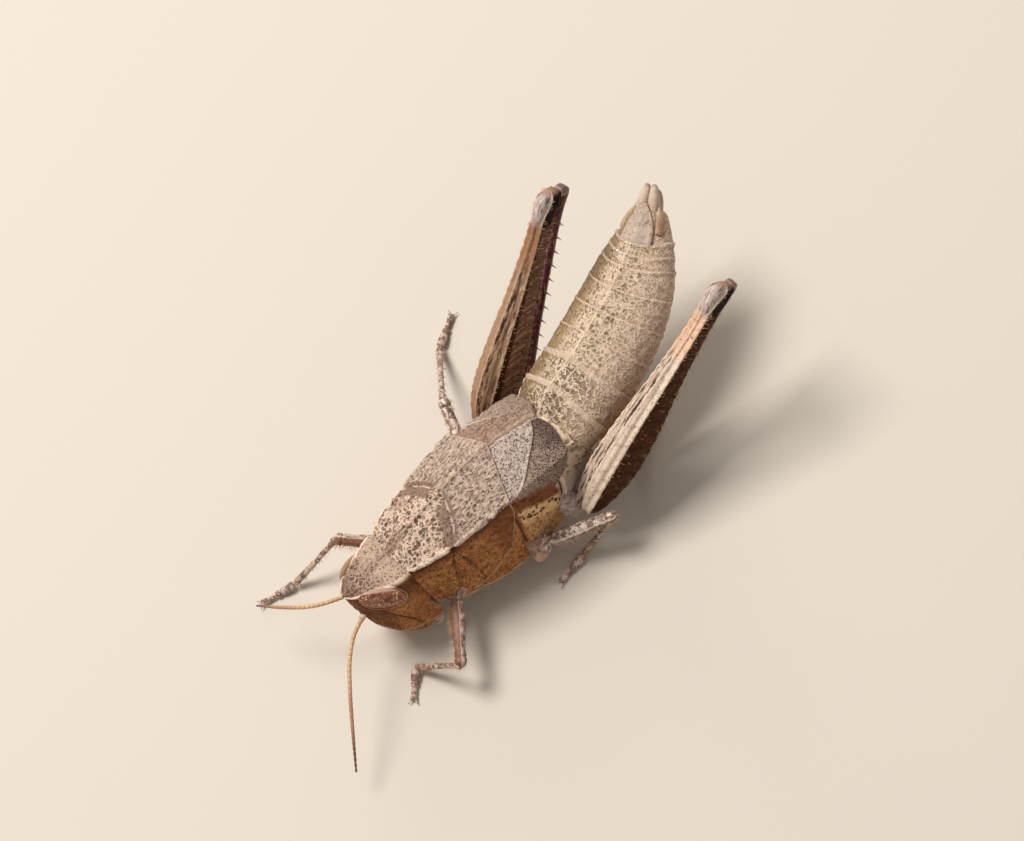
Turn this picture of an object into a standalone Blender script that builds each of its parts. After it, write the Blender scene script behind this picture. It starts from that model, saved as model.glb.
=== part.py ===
"""A brown leaf-litter grasshopper with short wing pads, crouching, at life size.

The animal is laid out in its own frame, in millimetres: its head points along -Y, its left side is +X, and the
origin lies on the dorsal midline above the waist, between the tips of the wing pads. stand() then leans the whole
animal over its right legs and lifts it onto the floor at Z = 0, in metres.
"""

import math

import bmesh
import bpy
from mathutils import Matrix, Vector

# ---- Driving dimensions, in millimetres and degrees ----------------------------------------------------------

MM = 0.001
GAP = 0.15                      # between neighbouring plates and at every joint
LEAN = math.radians(10.0)       # how far the body leans to its right
BACK_HEIGHT = 8.4               # floor to the dorsal midline above the waist

NOSE = -15.85                   # tip of the forehead, along Y
NECK = -12.25                   # back of the head
COLLAR = NECK + GAP             # front edge of the pronotum
WAIST = 1.2                     # back of the thorax, before it is cut square to the abdomen
EYE_CENTRE = Vector((1.72, -14.2, -2.15))
EYE_HALF_AXES = Vector((0.62, 1.5, 0.88))
EYE_YAW = 24.0                  # the eyes turn outwards towards the back
EYE_PITCH = -36.0               # and slope down towards the back
MOUTH_CUT = (Vector((0, -13.5, -6.7)), Vector((0, -0.35, -0.94)))

WING_THICKNESS = 0.5
WING_BASE = ((0.0, -3.3), (3.3, -4.75))      # front edge: reach across the back, then place along Y
WING_HIND = ((0.0, -0.15), (1.2, 0.15), (3.0, -0.1), (4.4, -0.9), (5.2, -1.9))

ABDOMEN_START = Vector((0.0, -2.5, -2.85))
ABDOMEN_YAW = ((0.0, 5.0), (4.0, 10.0), (8.5, 15.5), (11.0, 18.5), (14.0, 22.5), (19.0, 22.0))
ABDOMEN_PITCH = ((0.0, 2.0), (4.0, 7.0), (8.5, 15.0), (11.0, 21.0), (14.0, 30.0), (19.0, 32.0))
ABDOMEN_WIDTH = ((2.9, 2.4), (3.6, 2.75), (4.5, 3.05), (6.5, 3.2), (9.0, 3.2), (12.0, 2.95), (14.0, 2.5), (15.9, 1.8),
                 (16.9, 1.3), (17.9, 0.8))
ABDOMEN_DEPTH = ((2.9, 1.85), (3.6, 2.25), (4.5, 2.6), (6.5, 2.65), (8.5, 2.55), (10.5, 2.4), (12.0, 2.2), (14.0, 1.9),
                 (15.9, 1.4), (16.9, 1.05), (17.9, 0.7))
TERGITE_ENDS = (3.0, 4.6, 6.8, 8.8, 10.7, 12.5, 14.1, 14.9, 15.6, 17.6)

LEFT, RIGHT = 1, -1
HIP_LEFT = Vector((3.7, -1.3, -6.2))
HIP_RIGHT = Vector((-5.0, -2.5, -5.3))
KNEE_LEFT = HIP_LEFT + Vector((0.2, 14.5, 9.6))
KNEE_RIGHT = HIP_RIGHT + Vector((-1.4, 11.5, 13.0))
HIND_FEMUR_DEPTH = ((0.0, 0.6), (0.06, 1.2), (0.15, 1.85), (0.25, 2.0), (0.4, 1.75), (0.55, 1.25),
                    (0.7, 0.9), (0.83, 0.74), (0.92, 1.0), (0.97, 1.0), (1.0, 0.6))
HIND_FEMUR_WIDTH = ((0.0, 0.5), (0.06, 0.8), (0.18, 1.05), (0.32, 1.0), (0.5, 0.8), (0.7, 0.58),
                    (0.84, 0.5), (0.93, 0.7), (0.97, 0.68), (1.0, 0.4))

# Colours of the cuticle, linear red, green and blue, with its roughness.
CUTICLE = {
    "back_cuticle": ((0.33, 0.25, 0.19), 0.65),
    "flank_cuticle": ((0.17, 0.075, 0.03), 0.5),
    "abdomen_cuticle": ((0.36, 0.29, 0.2), 0.6),
    "wing_pad_cuticle": ((0.16, 0.11, 0.1), 0.6),
    "eye_lens": ((0.13, 0.035, 0.02), 0.25),
    "feeler_cuticle": ((0.62, 0.33, 0.14), 0.5),
    "leg_cuticle": ((0.3, 0.23, 0.18), 0.6),
    "hind_leg_cuticle": ((0.35, 0.24, 0.15), 0.55),
    "shin_cuticle": ((0.1, 0.012, 0.02), 0.45),
}


# ---- Shared tools ---------------------------------------------------------------------------------------------

def stand(point):
    """Turn a point of the animal's own frame, in millimetres, into the leaning animal's, in metres."""
    across = math.cos(LEAN) * point.x - math.sin(LEAN) * point.z
    height = math.sin(LEAN) * point.x + math.cos(LEAN) * point.z + BACK_HEIGHT
    return Vector((across, point.y, height)) * MM


def profile(points, at):
    """Read the smooth curve through (place, value) pairs at one place."""
    if at <= points[0][0]:
        return points[0][1]
    if at >= points[-1][0]:
        return points[-1][1]
    index = max(i for i in range(len(points) - 1) if points[i][0] <= at)
    (x0, y0), (x1, y1) = points[index], points[index + 1]
    before = points[max(index - 1, 0)]
    after = points[min(index + 2, len(points) - 1)]
    span = x1 - x0
    t = (at - x0) / span
    slope_in = (y1 - before[1]) / (x1 - before[0]) * span
    slope_out = (after[1] - y0) / (after[0] - x0) * span
    rise = y1 - y0
    return y0 + slope_in * t + (3 * rise - 2 * slope_in - slope_out) * t ** 2 \
        + (slope_in + slope_out - 2 * rise) * t ** 3


def spread(start, end, count):
    """Evenly spaced numbers from start to end."""
    return [start + (end - start) * i / (count - 1) for i in range(count)]


def material(name):
    """Make the cuticle's material once, and return it."""
    made = bpy.data.materials.get(name)
    if made is None:
        colour, roughness = CUTICLE[name]
        made = bpy.data.materials.new(name)
        made.use_nodes = True
        shader = made.node_tree.nodes["Principled BSDF"]
        shader.inputs["Base Color"].default_value = (*colour, 1.0)
        shader.inputs["Roughness"].default_value = roughness
        shader.inputs["Metallic"].default_value = 0.0
    return made


def new_object(name, mesh_builder, finish):
    """Turn a bmesh into a shaded object of the scene."""
    bmesh.ops.recalc_face_normals(mesh_builder, faces=mesh_builder.faces)
    if mesh_builder.calc_volume(signed=True) < 0:
        bmesh.ops.reverse_faces(mesh_builder, faces=mesh_builder.faces)
    mesh = bpy.data.meshes.new(name)
    mesh_builder.to_mesh(mesh)
    mesh_builder.free()
    mesh.materials.append(material(finish))
    mesh.shade_smooth()
    mesh.set_sharp_from_angle(angle=math.radians(40))
    made = bpy.data.objects.new(name, mesh)
    bpy.context.scene.collection.objects.link(made)
    return made


def loft(rings):
    """Draw the first ring of points, extrude it from ring to ring, and cap both ends."""
    builder = bmesh.new()
    place = builder.verts.layers.int.new("place")
    drawn = bmesh.ops.create_circle(builder, segments=len(rings[0]), radius=1.0)["verts"]
    for number, vert in enumerate(drawn):
        vert[place] = number
        vert.co = rings[0][number]
    edges = builder.edges[:]
    bmesh.ops.contextual_create(builder, geom=edges)
    for ring in rings[1:]:
        made = bmesh.ops.extrude_edge_only(builder, edges=edges)["geom"]
        edges = [part for part in made if isinstance(part, bmesh.types.BMEdge)]
        for vert in made:
            if isinstance(vert, bmesh.types.BMVert):
                vert.co = ring[vert[place]]
    bmesh.ops.contextual_create(builder, geom=edges)
    return builder


def slice_off(builder, point, normal):
    """Remove what lies beyond a plane, on the side its normal points to, and close the cut."""
    geometry = builder.verts[:] + builder.edges[:] + builder.faces[:]
    cut = bmesh.ops.bisect_plane(builder, geom=geometry, plane_co=point, plane_no=normal, clear_outer=True)
    edges = [part for part in cut["geom_cut"] if isinstance(part, bmesh.types.BMEdge)]
    bmesh.ops.contextual_create(builder, geom=edges)


def cutter(name, builder):
    """Keep a body as a guide that only cuts others."""
    made = new_object(name, builder, "back_cuticle")
    made.hide_render = True
    made.display_type = "WIRE"
    return made


def cut_by(piece, tool, operation="DIFFERENCE"):
    """Cut a piece by a guide."""
    modifier = piece.modifiers.new(tool.name, "BOOLEAN")
    modifier.solver = "EXACT"
    modifier.operation = operation
    modifier.object = tool


def ring_of(half, y):
    """Close the left half of a cross-section over the right, at one place along the body."""
    left = [Vector((x, y, z)) for x, z in half]
    right = [Vector((-x, y, z)) for x, z in reversed(half[1:-1])]
    return left + right


def flat_side(start, end, count):
    """Points from start up to, but not including, end, in the cross-section's plane."""
    return [(start[0] + (end[0] - start[0]) * i / count, start[1] + (end[1] - start[1]) * i / count)
            for i in range(count)]


def rounded_floor(edge, bottom, count):
    """The belly's quarter round from the lower edge of the flank to the midline."""
    points = []
    for i in range(count + 1):
        angle = math.pi / 2 * i / count
        points.append((edge[0] * math.cos(angle) ** 0.7, edge[1] + (bottom - edge[1]) * math.sin(angle)))
    return points[:-1] + [(0.0, bottom)]


# ---- Thorax ---------------------------------------------------------------------------------------------------

# Each line runs along Y: the dorsal keel, the side ridge of the roof, the flank, its lower edge and the belly.
KEEL_HEIGHT = ((-12.4, -1.2), (-10.0, -0.5), (-7.7, 0.02), (-5.5, 0.55), (-3.5, 0.8), (-1.5, 0.45), (0.5, -0.05))
RIDGE_WIDTH = ((-12.4, 1.85), (-11.0, 2.3), (-9.0, 2.8), (-6.5, 3.1), (-4.5, 3.2), (0.5, 3.2))
RIDGE_HEIGHT = ((-12.4, -1.45), (-10.5, -1.3), (-9.0, -1.2), (-6.5, -0.9), (-4.5, -0.65), (0.5, -1.1))
FLANK_WIDTH = ((-12.4, 2.15), (-10.0, 2.6), (-7.0, 2.95), (-4.0, 3.0), (0.5, 2.85))
SILL_WIDTH = ((-12.4, 1.9), (-10.0, 2.35), (-7.0, 2.65), (-4.0, 2.7), (0.5, 2.3))
SILL_HEIGHT = ((-12.4, -5.4), (-10.0, -5.7), (-7.0, -6.1), (-3.0, -6.1), (0.5, -4.9))
BELLY_HEIGHT = ((-12.4, -6.2), (-10.0, -6.7), (-7.0, -7.2), (-3.0, -7.2), (0.5, -5.6))
PRONOTUM_SIDE = ((-13.0, 3.0), (-3.5, 3.0), (-3.5, 0.7), (-4.7, -0.8), (-4.95, -2.6), (-5.7, -4.2),
                 (-6.6, -5.0), (-8.4, -5.5), (-8.7, -9.0), (-13.0, -9.0))


def thorax_half(y, sink=0.0, grow=0.0):
    """The left half of the thorax's cross-section. sink lowers its roof, as under the wing pads."""
    keel = profile(KEEL_HEIGHT, y) - sink + grow
    ridge = (profile(RIDGE_WIDTH, y) - 0.8 * sink + grow, profile(RIDGE_HEIGHT, y) - 0.4 * sink)
    flank = (profile(FLANK_WIDTH, y) - 0.5 * sink + grow, profile(RIDGE_HEIGHT, y) - 2.2)
    sill = (profile(SILL_WIDTH, y) + grow, profile(SILL_HEIGHT, y))
    belly = profile(BELLY_HEIGHT, y) - grow
    return flat_side((0.0, keel), ridge, 3) + flat_side(ridge, flank, 2) + flat_side(flank, sill, 3) \
        + rounded_floor(sill, belly, 4)


def thorax_body(start, end, count, **shape):
    """The thorax between two places along Y."""
    rings = []
    for y in spread(start, end, count):
        rings.append([stand(point) for point in ring_of(thorax_half(y, **shape), y)])
    return loft(rings)


def side_prism(name, outline, growth):
    """A guide as wide as the animal, whose outline seen from the side is given, grown by a little."""
    rings = []
    for x in (-6.0, 6.0):
        ring = []
        for index, (y, z) in enumerate(outline):
            before, after = outline[index - 1], outline[(index + 1) % len(outline)]
            outward = Vector((0, before[1] - after[1], after[0] - before[0])).normalized()
            ring.append(stand(Vector((x, y, z)) + outward * growth))
        rings.append(ring)
    return cutter(name, loft(rings))


def make_thorax():
    """The saddle-shaped pronotum, and the two joined thorax rings behind and under it."""
    pronotum = new_object("pronotum", thorax_body(COLLAR, -3.0, 14), "back_cuticle")
    cut_by(pronotum, side_prism("pronotum_guide", PRONOTUM_SIDE, 0.0), "INTERSECT")
    centre, left, up = abdomen_frame(TERGITE_ENDS[0] - GAP)
    rings = thorax_body(-9.6, WAIST, 12, sink=0.75)
    slice_off(rings, stand(centre), stand(up.cross(left)) - stand(Vector()))
    rear = new_object("pterothorax", rings, "flank_cuticle")
    cut_by(rear, side_prism("pronotum_room", PRONOTUM_SIDE, 1.3 * GAP))


# ---- Wing pads ------------------------------------------------------------------------------------------------

def over_back(y, reach, lift):
    """A point of the wing pads' underside: reach is the way round the body from the midline."""
    half = thorax_half(y, sink=0.5)
    for (x0, z0), (x1, z1) in zip(half, half[1:]):
        side = math.dist((x0, z0), (x1, z1))
        if reach <= side:
            share = reach / side
            outward = Vector((z0 - z1, 0, x1 - x0)).normalized()
            return Vector((x0 + (x1 - x0) * share, y, z0 + (z1 - z0) * share)) + outward * lift
        reach -= side
    return Vector((0, y, half[-1][1]))


def make_wing_pad(name, side):
    """A short, rounded, closed leaf over the waist, thin at its free edge."""
    across, along = 8, 6
    builder = bmesh.new()
    bmesh.ops.create_grid(builder, x_segments=across, y_segments=along, size=0.5)
    for vert in builder.verts:
        share, run = vert.co.x + 0.5, vert.co.y + 0.5
        front = profile(WING_BASE, 3.3 * share)
        back = profile(WING_HIND, 5.2 * share)
        reach = 0.1 + (3.2 + 1.9 * run) * share
        point = over_back(front + (back - front) * run, reach, 0.0)
        vert.co = stand(Vector((side * point.x, point.y, point.z)))
    bmesh.ops.recalc_face_normals(builder, faces=builder.faces)
    if sum(face.normal.z for face in builder.faces) < 0:
        bmesh.ops.reverse_faces(builder, faces=builder.faces)
    bmesh.ops.solidify(builder, geom=builder.faces[:], thickness=-WING_THICKNESS * MM)
    new_object(name, builder, "wing_pad_cuticle")


# ---- Head -----------------------------------------------------------------------------------------------------

CROWN_HEIGHT = ((-15.85, -1.78), (-15.5, -1.6), (-14.5, -1.45), (-12.2, -1.25))
FACE_HEIGHT = ((-15.85, -2.15), (-15.75, -3.2), (-15.5, -4.4), (-15.1, -5.5), (-14.5, -6.6), (-13.6, -7.6),
               (-12.2, -8.15))
HEAD_WIDTH = ((-15.85, 0.35), (-15.6, 0.9), (-15.3, 1.25), (-14.7, 1.7), (-13.9, 1.98), (-13.0, 2.12), (-12.2, 2.12))
CROWN_SHARE = ((-15.85, 0.68), (-14.3, 0.7), (-12.9, 0.88), (-12.2, 0.92))     # where the roof meets the cheek
CHEEK_SHARE, JAW_SHARE = 0.96, 0.8


def head_half(y, grow=0.0):
    """The left half of the head's cross-section, from the crown down the cheek to the mouth."""
    crown = profile(CROWN_HEIGHT, y) + grow
    mouth = profile(FACE_HEIGHT, y) - grow
    width = profile(HEAD_WIDTH, y) + grow
    depth = crown - mouth
    edge = (profile(CROWN_SHARE, y) * width, crown - 0.05 * depth)
    temple = (width, crown - 0.28 * depth)
    cheek = (CHEEK_SHARE * width, crown - 0.6 * depth)
    jaw = (JAW_SHARE * width, crown - 0.9 * depth)
    return flat_side((0.0, crown), edge, 2) + flat_side(edge, temple, 2) + flat_side(temple, cheek, 2) \
        + flat_side(cheek, jaw, 2) + rounded_floor(jaw, mouth, 3)


def head_body(grow=0.0):
    """The head from the forehead to the neck, closer rings where the face is steep."""
    places = [NOSE, -15.72, -15.55, -15.35, -15.05, -14.7, -14.3, -13.85, -13.4, -12.95, -12.5, NECK]
    rings = []
    for y in places:
        here = y - grow if y == NOSE else y + grow if y == NECK else y
        rings.append([stand(point + Vector((0, here - y, 0))) for point in ring_of(head_half(y, grow), y)])
    return loft(rings)


def eye_body(side, grow=0.0):
    """One long oval eye, set along the side of the head."""
    builder = bmesh.new()
    bmesh.ops.create_uvsphere(builder, u_segments=16, v_segments=9, radius=1.0)
    turn = Matrix.Rotation(math.radians(-EYE_YAW), 4, "Z") @ Matrix.Rotation(math.radians(EYE_PITCH), 4, "X")
    for vert in builder.verts:
        swell = Vector([vert.co[i] * (EYE_HALF_AXES[i] + grow) for i in range(3)])
        point = turn @ swell + EYE_CENTRE
        vert.co = stand(Vector((side * point.x, point.y, point.z)))
    return builder


def make_head():
    """The head capsule with its eyes set in sockets, and the mouthparts as the lowest slice of the same form."""
    point, normal = MOUTH_CUT
    down = stand(point + normal) - stand(point)
    capsule = head_body()
    slice_off(capsule, stand(point), down)
    head = new_object("head", capsule, "flank_cuticle")
    mouth = head_body()
    slice_off(mouth, stand(point + normal * GAP), -down)
    new_object("mouthparts", mouth, "flank_cuticle")
    for name, side in (("left", LEFT), ("right", RIGHT)):
        new_object(f"eye_{name}", eye_body(side), "eye_lens")
        cut_by(head, cutter(f"eye_socket_{name}", eye_body(side, GAP)))


# ---- Limbs and feelers ----------------------------------------------------------------------------------------

def limb(path, widths, depths, side, sides=10, boxiness=1.0):
    """A closed tube along a path of standing points, in metres. side is the direction its width is measured in."""
    rings = []
    for index, centre in enumerate(path):
        ahead = path[min(index + 1, len(path) - 1)] - path[max(index - 1, 0)]
        forward = ahead.normalized()
        across = (side - forward * side.dot(forward)).normalized()
        deep = forward.cross(across)
        ring = []
        for corner in range(sides):
            angle = 2 * math.pi * corner / sides
            x = math.copysign(abs(math.cos(angle)) ** boxiness, math.cos(angle)) * widths[index] * MM
            z = math.copysign(abs(math.sin(angle)) ** boxiness, math.sin(angle)) * depths[index] * MM
            ring.append(centre + across * x + deep * z)
        rings.append(ring)
    return loft(rings)


def smooth_path(points, count):
    """Evenly spaced points on the smooth curve through a few points."""
    marks = list(range(len(points)))
    lines = [[(mark, point[axis]) for mark, point in zip(marks, points)] for axis in range(3)]
    return [Vector([profile(line, at) for line in lines]) for at in spread(0, len(points) - 1, count)]


def make_feeler(name, points, guide):
    """One feeler, a whip that thins towards its tip."""
    path = smooth_path([stand(Vector(point)) for point in points], 15)
    radii = spread(0.3, 0.25, 15)
    feeler = new_object(name, limb(path, radii, radii, Vector((0, 0, 1)), sides=8), "feeler_cuticle")
    cut_by(feeler, guide)


def make_palp(name, side, guide):
    """A mouth feeler of two short beads behind the jaw."""
    points = [(1.55, -12.0, -6.9), (1.75, -11.6, -7.35), (1.55, -11.75, -7.8)]
    path = smooth_path([stand(Vector((side * x, y, z))) for x, y, z in points], 5)
    radii = [0.25, 0.27, 0.25, 0.27, 0.25]
    palp = new_object(name, limb(path, radii, radii, Vector((0, 0, 1)), sides=8), "leg_cuticle")
    cut_by(palp, guide)


def tarsus(name, ankle, toe, radius):
    """A foot along the floor, whose sole is cut to one small flat at floor level."""
    sole = Vector((0, 0, 0.7 * radius * MM))
    pad = ankle.lerp(toe, 0.45)
    rest = [ankle, Vector((pad.x, pad.y, 0)) + sole, Vector((toe.x, toe.y, 0)) + sole]
    path = smooth_path(rest, 6)
    radii = [0.85 * radius, radius, radius, 0.95 * radius, radius, 0.8 * radius]
    builder = limb(path, radii, radii, Vector((0, 0, 1)), sides=10)
    slice_off(builder, Vector((0, 0, 0)), Vector((0, 0, -1)))
    new_object(name, builder, "leg_cuticle")


def walking_leg(name, hip, knee, ankle, toe, guide):
    """A fore or middle leg: hip and femur in one, shin, and foot. hip and knee are in the animal's frame."""
    hip, knee = stand(hip), stand(knee)
    plane = (knee - hip).cross(ankle - knee).normalized()
    shares = (0.0, 0.12, 0.25, 0.42, 0.6, 0.78, 0.92, 1.0)
    path = [hip.lerp(knee, share) for share in shares]
    widths = (0.85, 0.75, 0.5, 0.52, 0.5, 0.42, 0.42, 0.3)
    depths = (0.95, 0.8, 0.55, 0.62, 0.58, 0.46, 0.46, 0.3)
    femur = limb(path, widths, depths, plane, boxiness=0.8)
    cut_by(new_object(f"{name}_femur", femur, "leg_cuticle"), guide)
    wider, deeper = [w + GAP for w in widths], [d + GAP for d in depths]
    path[-1] += (knee - hip).normalized() * GAP * MM
    knee_room = cutter(f"{name}_knee_room", limb(path, wider, deeper, plane, boxiness=0.8))
    down = (ankle - knee).normalized()
    start = knee + down * 0.25 * MM
    end = ankle - down * GAP * MM
    path = [start.lerp(end, share) for share in (0.0, 0.08, 0.35, 0.65, 0.93, 1.0)]
    radii = (0.25, 0.32, 0.3, 0.28, 0.3, 0.25)
    tibia = new_object(f"{name}_tibia", limb(path, radii, radii, plane), "leg_cuticle")
    cut_by(tibia, knee_room)
    away = (toe - ankle).normalized()
    tarsus(f"{name}_tarsus", ankle + (away * 0.3 - down * 0.02) * MM, toe, 0.3)


def make_walking_legs():
    """The four walking legs. Their hips grow out of the belly, and their feet lie on the floor."""
    room = cutter("thorax_room", thorax_body(COLLAR - 0.3, WAIST + 0.2, 14, grow=GAP))
    walking_leg("fore_left", Vector((1.6, -10.0, -5.9)), Vector((6.3, -13.2, -6.5)),
                Vector((4.35, -15.2, 0.45)) * MM, Vector((5.9, -16.7, 0.2)) * MM, room)
    walking_leg("fore_right", Vector((-1.6, -10.3, -5.6)), Vector((-5.2, -13.94, -4.2)),
                Vector((-5.05, -17.45, 0.45)) * MM, Vector((-5.6, -19.9, 0.2)) * MM, room)
    walking_leg("mid_left", Vector((2.8, -5.3, -6.8)), Vector((5.6, -0.14, -5.75)),
                Vector((5.75, -2.9, 0.45)) * MM, Vector((6.1, -5.3, 0.2)) * MM, room)
    walking_leg("mid_right", Vector((-2.0, -5.4, -6.0)), Vector((-7.55, -3.35, -3.5)),
                Vector((-11.0, -1.2, 0.45)) * MM, Vector((-12.4, 0.9, 0.2)) * MM, room)


def hind_leg(name, side, hip, knee, tuck, heading):
    """A jumping leg, folded: thick femur with its knee, shin laid back under the femur, and foot.

    tuck is how far the shin lies inwards of the femur at the knee and at the ankle, and heading is the foot's.
    """
    hip, knee = stand(hip), stand(knee)
    axis = (knee - hip).normalized()
    length = (knee - hip).length
    under = (Vector((0, 0, -1)) + axis * axis.z).normalized()
    across = axis.cross(under)
    shares = [0.0, 0.03, 0.07, 0.12, 0.18, 0.26, 0.36, 0.47, 0.58, 0.69, 0.79, 0.86, 0.91, 0.95, 0.98, 1.0]
    path = [hip + axis * length * share for share in shares]
    widths = [profile(HIND_FEMUR_WIDTH, share) for share in shares]
    depths = [profile(HIND_FEMUR_DEPTH, share) for share in shares]
    new_object(f"{name}_femur", limb(path, widths, depths, across, sides=14, boxiness=0.75), "hind_leg_cuticle")

    inwards = across * math.copysign(MM, -side * across.x)
    knee_fold = hip + axis * length * 0.975 + under * 1.5 * MM + inwards * tuck[0]
    ankle = hip + axis * length * 0.13 + under * 3.7 * MM + inwards * tuck[1]
    shin_path = [knee_fold.lerp(ankle, share) for share in (0.0, 0.04, 0.15, 0.35, 0.6, 0.85, 0.96, 1.0)]
    shin_radii = (0.3, 0.42, 0.38, 0.34, 0.34, 0.36, 0.38, 0.28)
    new_object(f"{name}_tibia", limb(shin_path, shin_radii, shin_radii, across), "shin_cuticle")

    back = Vector((*heading, 0)).normalized()
    heel = Vector((ankle.x, ankle.y, ankle.z - 0.66 * MM)) + back * 0.1 * MM
    toe = Vector((heel.x, heel.y, 0.4 * MM)) + back * 3.85 * MM
    tarsus(f"{name}_tarsus", heel, toe, 0.33)
    return hip


def make_hind_legs(guide):
    """Both jumping legs, and the hips that carry them."""
    for name, side, hip, knee, tuck, heading in (
            ("left", LEFT, HIP_LEFT, KNEE_LEFT, (0.35, 0.6), (-0.5, 0.87)),
            ("right", RIGHT, HIP_RIGHT, KNEE_RIGHT, (0.0, 0.0), (-0.12, 0.99))):
        hind_leg(f"hind_{name}", side, hip, knee, tuck, heading)
        inner = Vector((side * 1.5, hip.y - 0.7, -5.6))
        outer = hip + Vector((-side * 0.4, -0.35, -0.3))
        path = [stand(inner.lerp(outer, share)) for share in (0.0, 0.4, 0.75, 1.0)]
        radii = (0.95, 0.85, 0.65, 0.4)
        hip_ring = limb(path, radii, radii, Vector((0, 0, 1)), sides=12)
        cut_by(new_object(f"hind_{name}_coxa", hip_ring, "flank_cuticle"), guide)


# ---- Abdomen --------------------------------------------------------------------------------------------------

def abdomen_frame(distance):
    """Place and axes of the abdomen's cross-section at a distance along its bent centre line."""
    point = ABDOMEN_START.copy()
    steps = 60
    ahead = Vector((0, 1, 0))
    for step in range(steps + 1):
        at = distance * step / steps
        yaw = math.radians(profile(ABDOMEN_YAW, at))
        pitch = math.radians(profile(ABDOMEN_PITCH, at))
        ahead = Vector((-math.sin(yaw) * math.cos(pitch), math.cos(yaw) * math.cos(pitch), math.sin(pitch)))
        if step < steps:
            point += ahead * (distance / steps)
    left = Vector((ahead.y, -ahead.x, 0)).normalized()
    return point, left, left.cross(ahead)


def abdomen_ring(distance, shrink=0.0, sides=22):
    """One cross-section: an oval with a low keel above and a flatter belly."""
    centre, left, up = abdomen_frame(distance)
    width = profile(ABDOMEN_WIDTH, distance) - shrink
    depth = profile(ABDOMEN_DEPTH, distance) - shrink
    ring = []
    for corner in range(sides):
        angle = 2 * math.pi * corner / sides
        x = width * math.sin(angle)
        z = depth * math.cos(angle)
        z += 0.12 * depth * max(0.0, 1 - abs(x) / (0.35 * width)) if z > 0 else -0.14 * z
        ring.append(stand(centre + left * x + up * z))
    return ring


def make_abdomen():
    """Eight overlapping rings, each a little wider at its back edge, then the tail plate and the egg-laying valves."""
    for number, (start, end) in enumerate(zip(TERGITE_ENDS, TERGITE_ENDS[1:]), start=1):
        last = number == len(TERGITE_ENDS) - 1
        stations = spread(start, end - GAP, 3 if not last else 4)
        lips = (0.12, 0.04, 0.0) if not last else (0.12, 0.08, 0.08, 0.25)
        rings = [abdomen_ring(at, shrink) for at, shrink in zip(stations, lips)]
        name = "tail_plate" if last else f"abdomen_{number}"
        new_object(name, loft(rings), "abdomen_cuticle")

    centre, left, up = abdomen_frame(TERGITE_ENDS[-1])
    ahead = up.cross(left)
    for name, side in (("left", LEFT), ("right", RIGHT)):
        start = centre + left * side * 0.42
        points = [start, start + ahead * 0.7 + up * 0.02, start + ahead * 1.3 + up * 0.15, start + ahead * 1.75 + up * 0.4]
        path = [stand(point) for point in points]
        valve = limb(path, (0.34, 0.34, 0.3, 0.25), (0.6, 0.55, 0.42, 0.25), stand(left) - stand(Vector()), sides=8)
        new_object(f"valve_{name}", valve, "abdomen_cuticle")

    centre, left, up = abdomen_frame(TERGITE_ENDS[-2] + 0.9)
    ahead = up.cross(left)
    for name, side in (("left", LEFT), ("right", RIGHT)):
        width = profile(ABDOMEN_WIDTH, TERGITE_ENDS[-2] + 0.9)
        start = centre + left * side * (0.75 * width + 0.22) + up * 1.1
        path = [stand(start + ahead * step - left * side * 0.3 * step - up * 0.25 * step) for step in (0.0, 0.5, 1.1)]
        cercus = limb(path, (0.25, 0.27, 0.25), (0.3, 0.3, 0.25), stand(left) - stand(Vector()), sides=8)
        new_object(f"cercus_{name}", cercus, "abdomen_cuticle")


# ---- The whole animal -----------------------------------------------------------------------------------------

FEELER_LEFT = ((0.75, -15.2, -3.5), (1.25, -16.9, -4.0), (2.2, -18.1, -4.4), (3.4, -19.2, -5.0), (4.4, -20.1, -5.7),
               (5.5, -21.1, -6.6), (6.5, -22.1, -7.7))
FEELER_RIGHT = ((-0.75, -15.2, -3.4), (-1.15, -16.9, -2.95), (-1.8, -18.0, -2.85), (-2.95, -19.1, -2.95),
                (-4.5, -20.2, -3.3))


def settle():
    """Shift every part so that the whole animal's box is centred over the origin, standing on Z = 0."""
    bpy.context.view_layer.update()
    graph = bpy.context.evaluated_depsgraph_get()
    corners = []
    for item in bpy.context.scene.objects:
        if not item.hide_render:
            mesh = item.evaluated_get(graph).data
            corners += [vert.co.copy() for vert in mesh.vertices]
    middle = [(min(c[axis] for c in corners) + max(c[axis] for c in corners)) / 2 for axis in (0, 1)]
    for item in bpy.context.scene.objects:
        item.location = (-middle[0], -middle[1], 0.0)


def main():
    """Build the grasshopper from front to back."""
    for old in list(bpy.data.objects):
        bpy.data.objects.remove(old)
    make_head()
    make_thorax()
    for name, side in (("left", LEFT), ("right", RIGHT)):
        make_wing_pad(f"wing_pad_{name}", side)
    head_room = cutter("head_room", head_body(GAP))
    make_feeler("antenna_left", FEELER_LEFT, head_room)
    make_feeler("antenna_right", FEELER_RIGHT, head_room)
    make_palp("palp_left", LEFT, head_room)
    make_palp("palp_right", RIGHT, head_room)
    make_walking_legs()
    make_hind_legs(bpy.data.objects["thorax_room"])
    make_abdomen()
    settle()


main()
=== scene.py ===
"""A brown leaf-litter grasshopper with short wing pads, crouching with its hind legs folded.

Sizes are in millimetres in the animal's own frame: its head points along -Y, its left side is +X, and the origin lies
on the dorsal midline above the waist. stand() leans it over its right legs and sets it on the floor, in metres.
"""

import math

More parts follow.
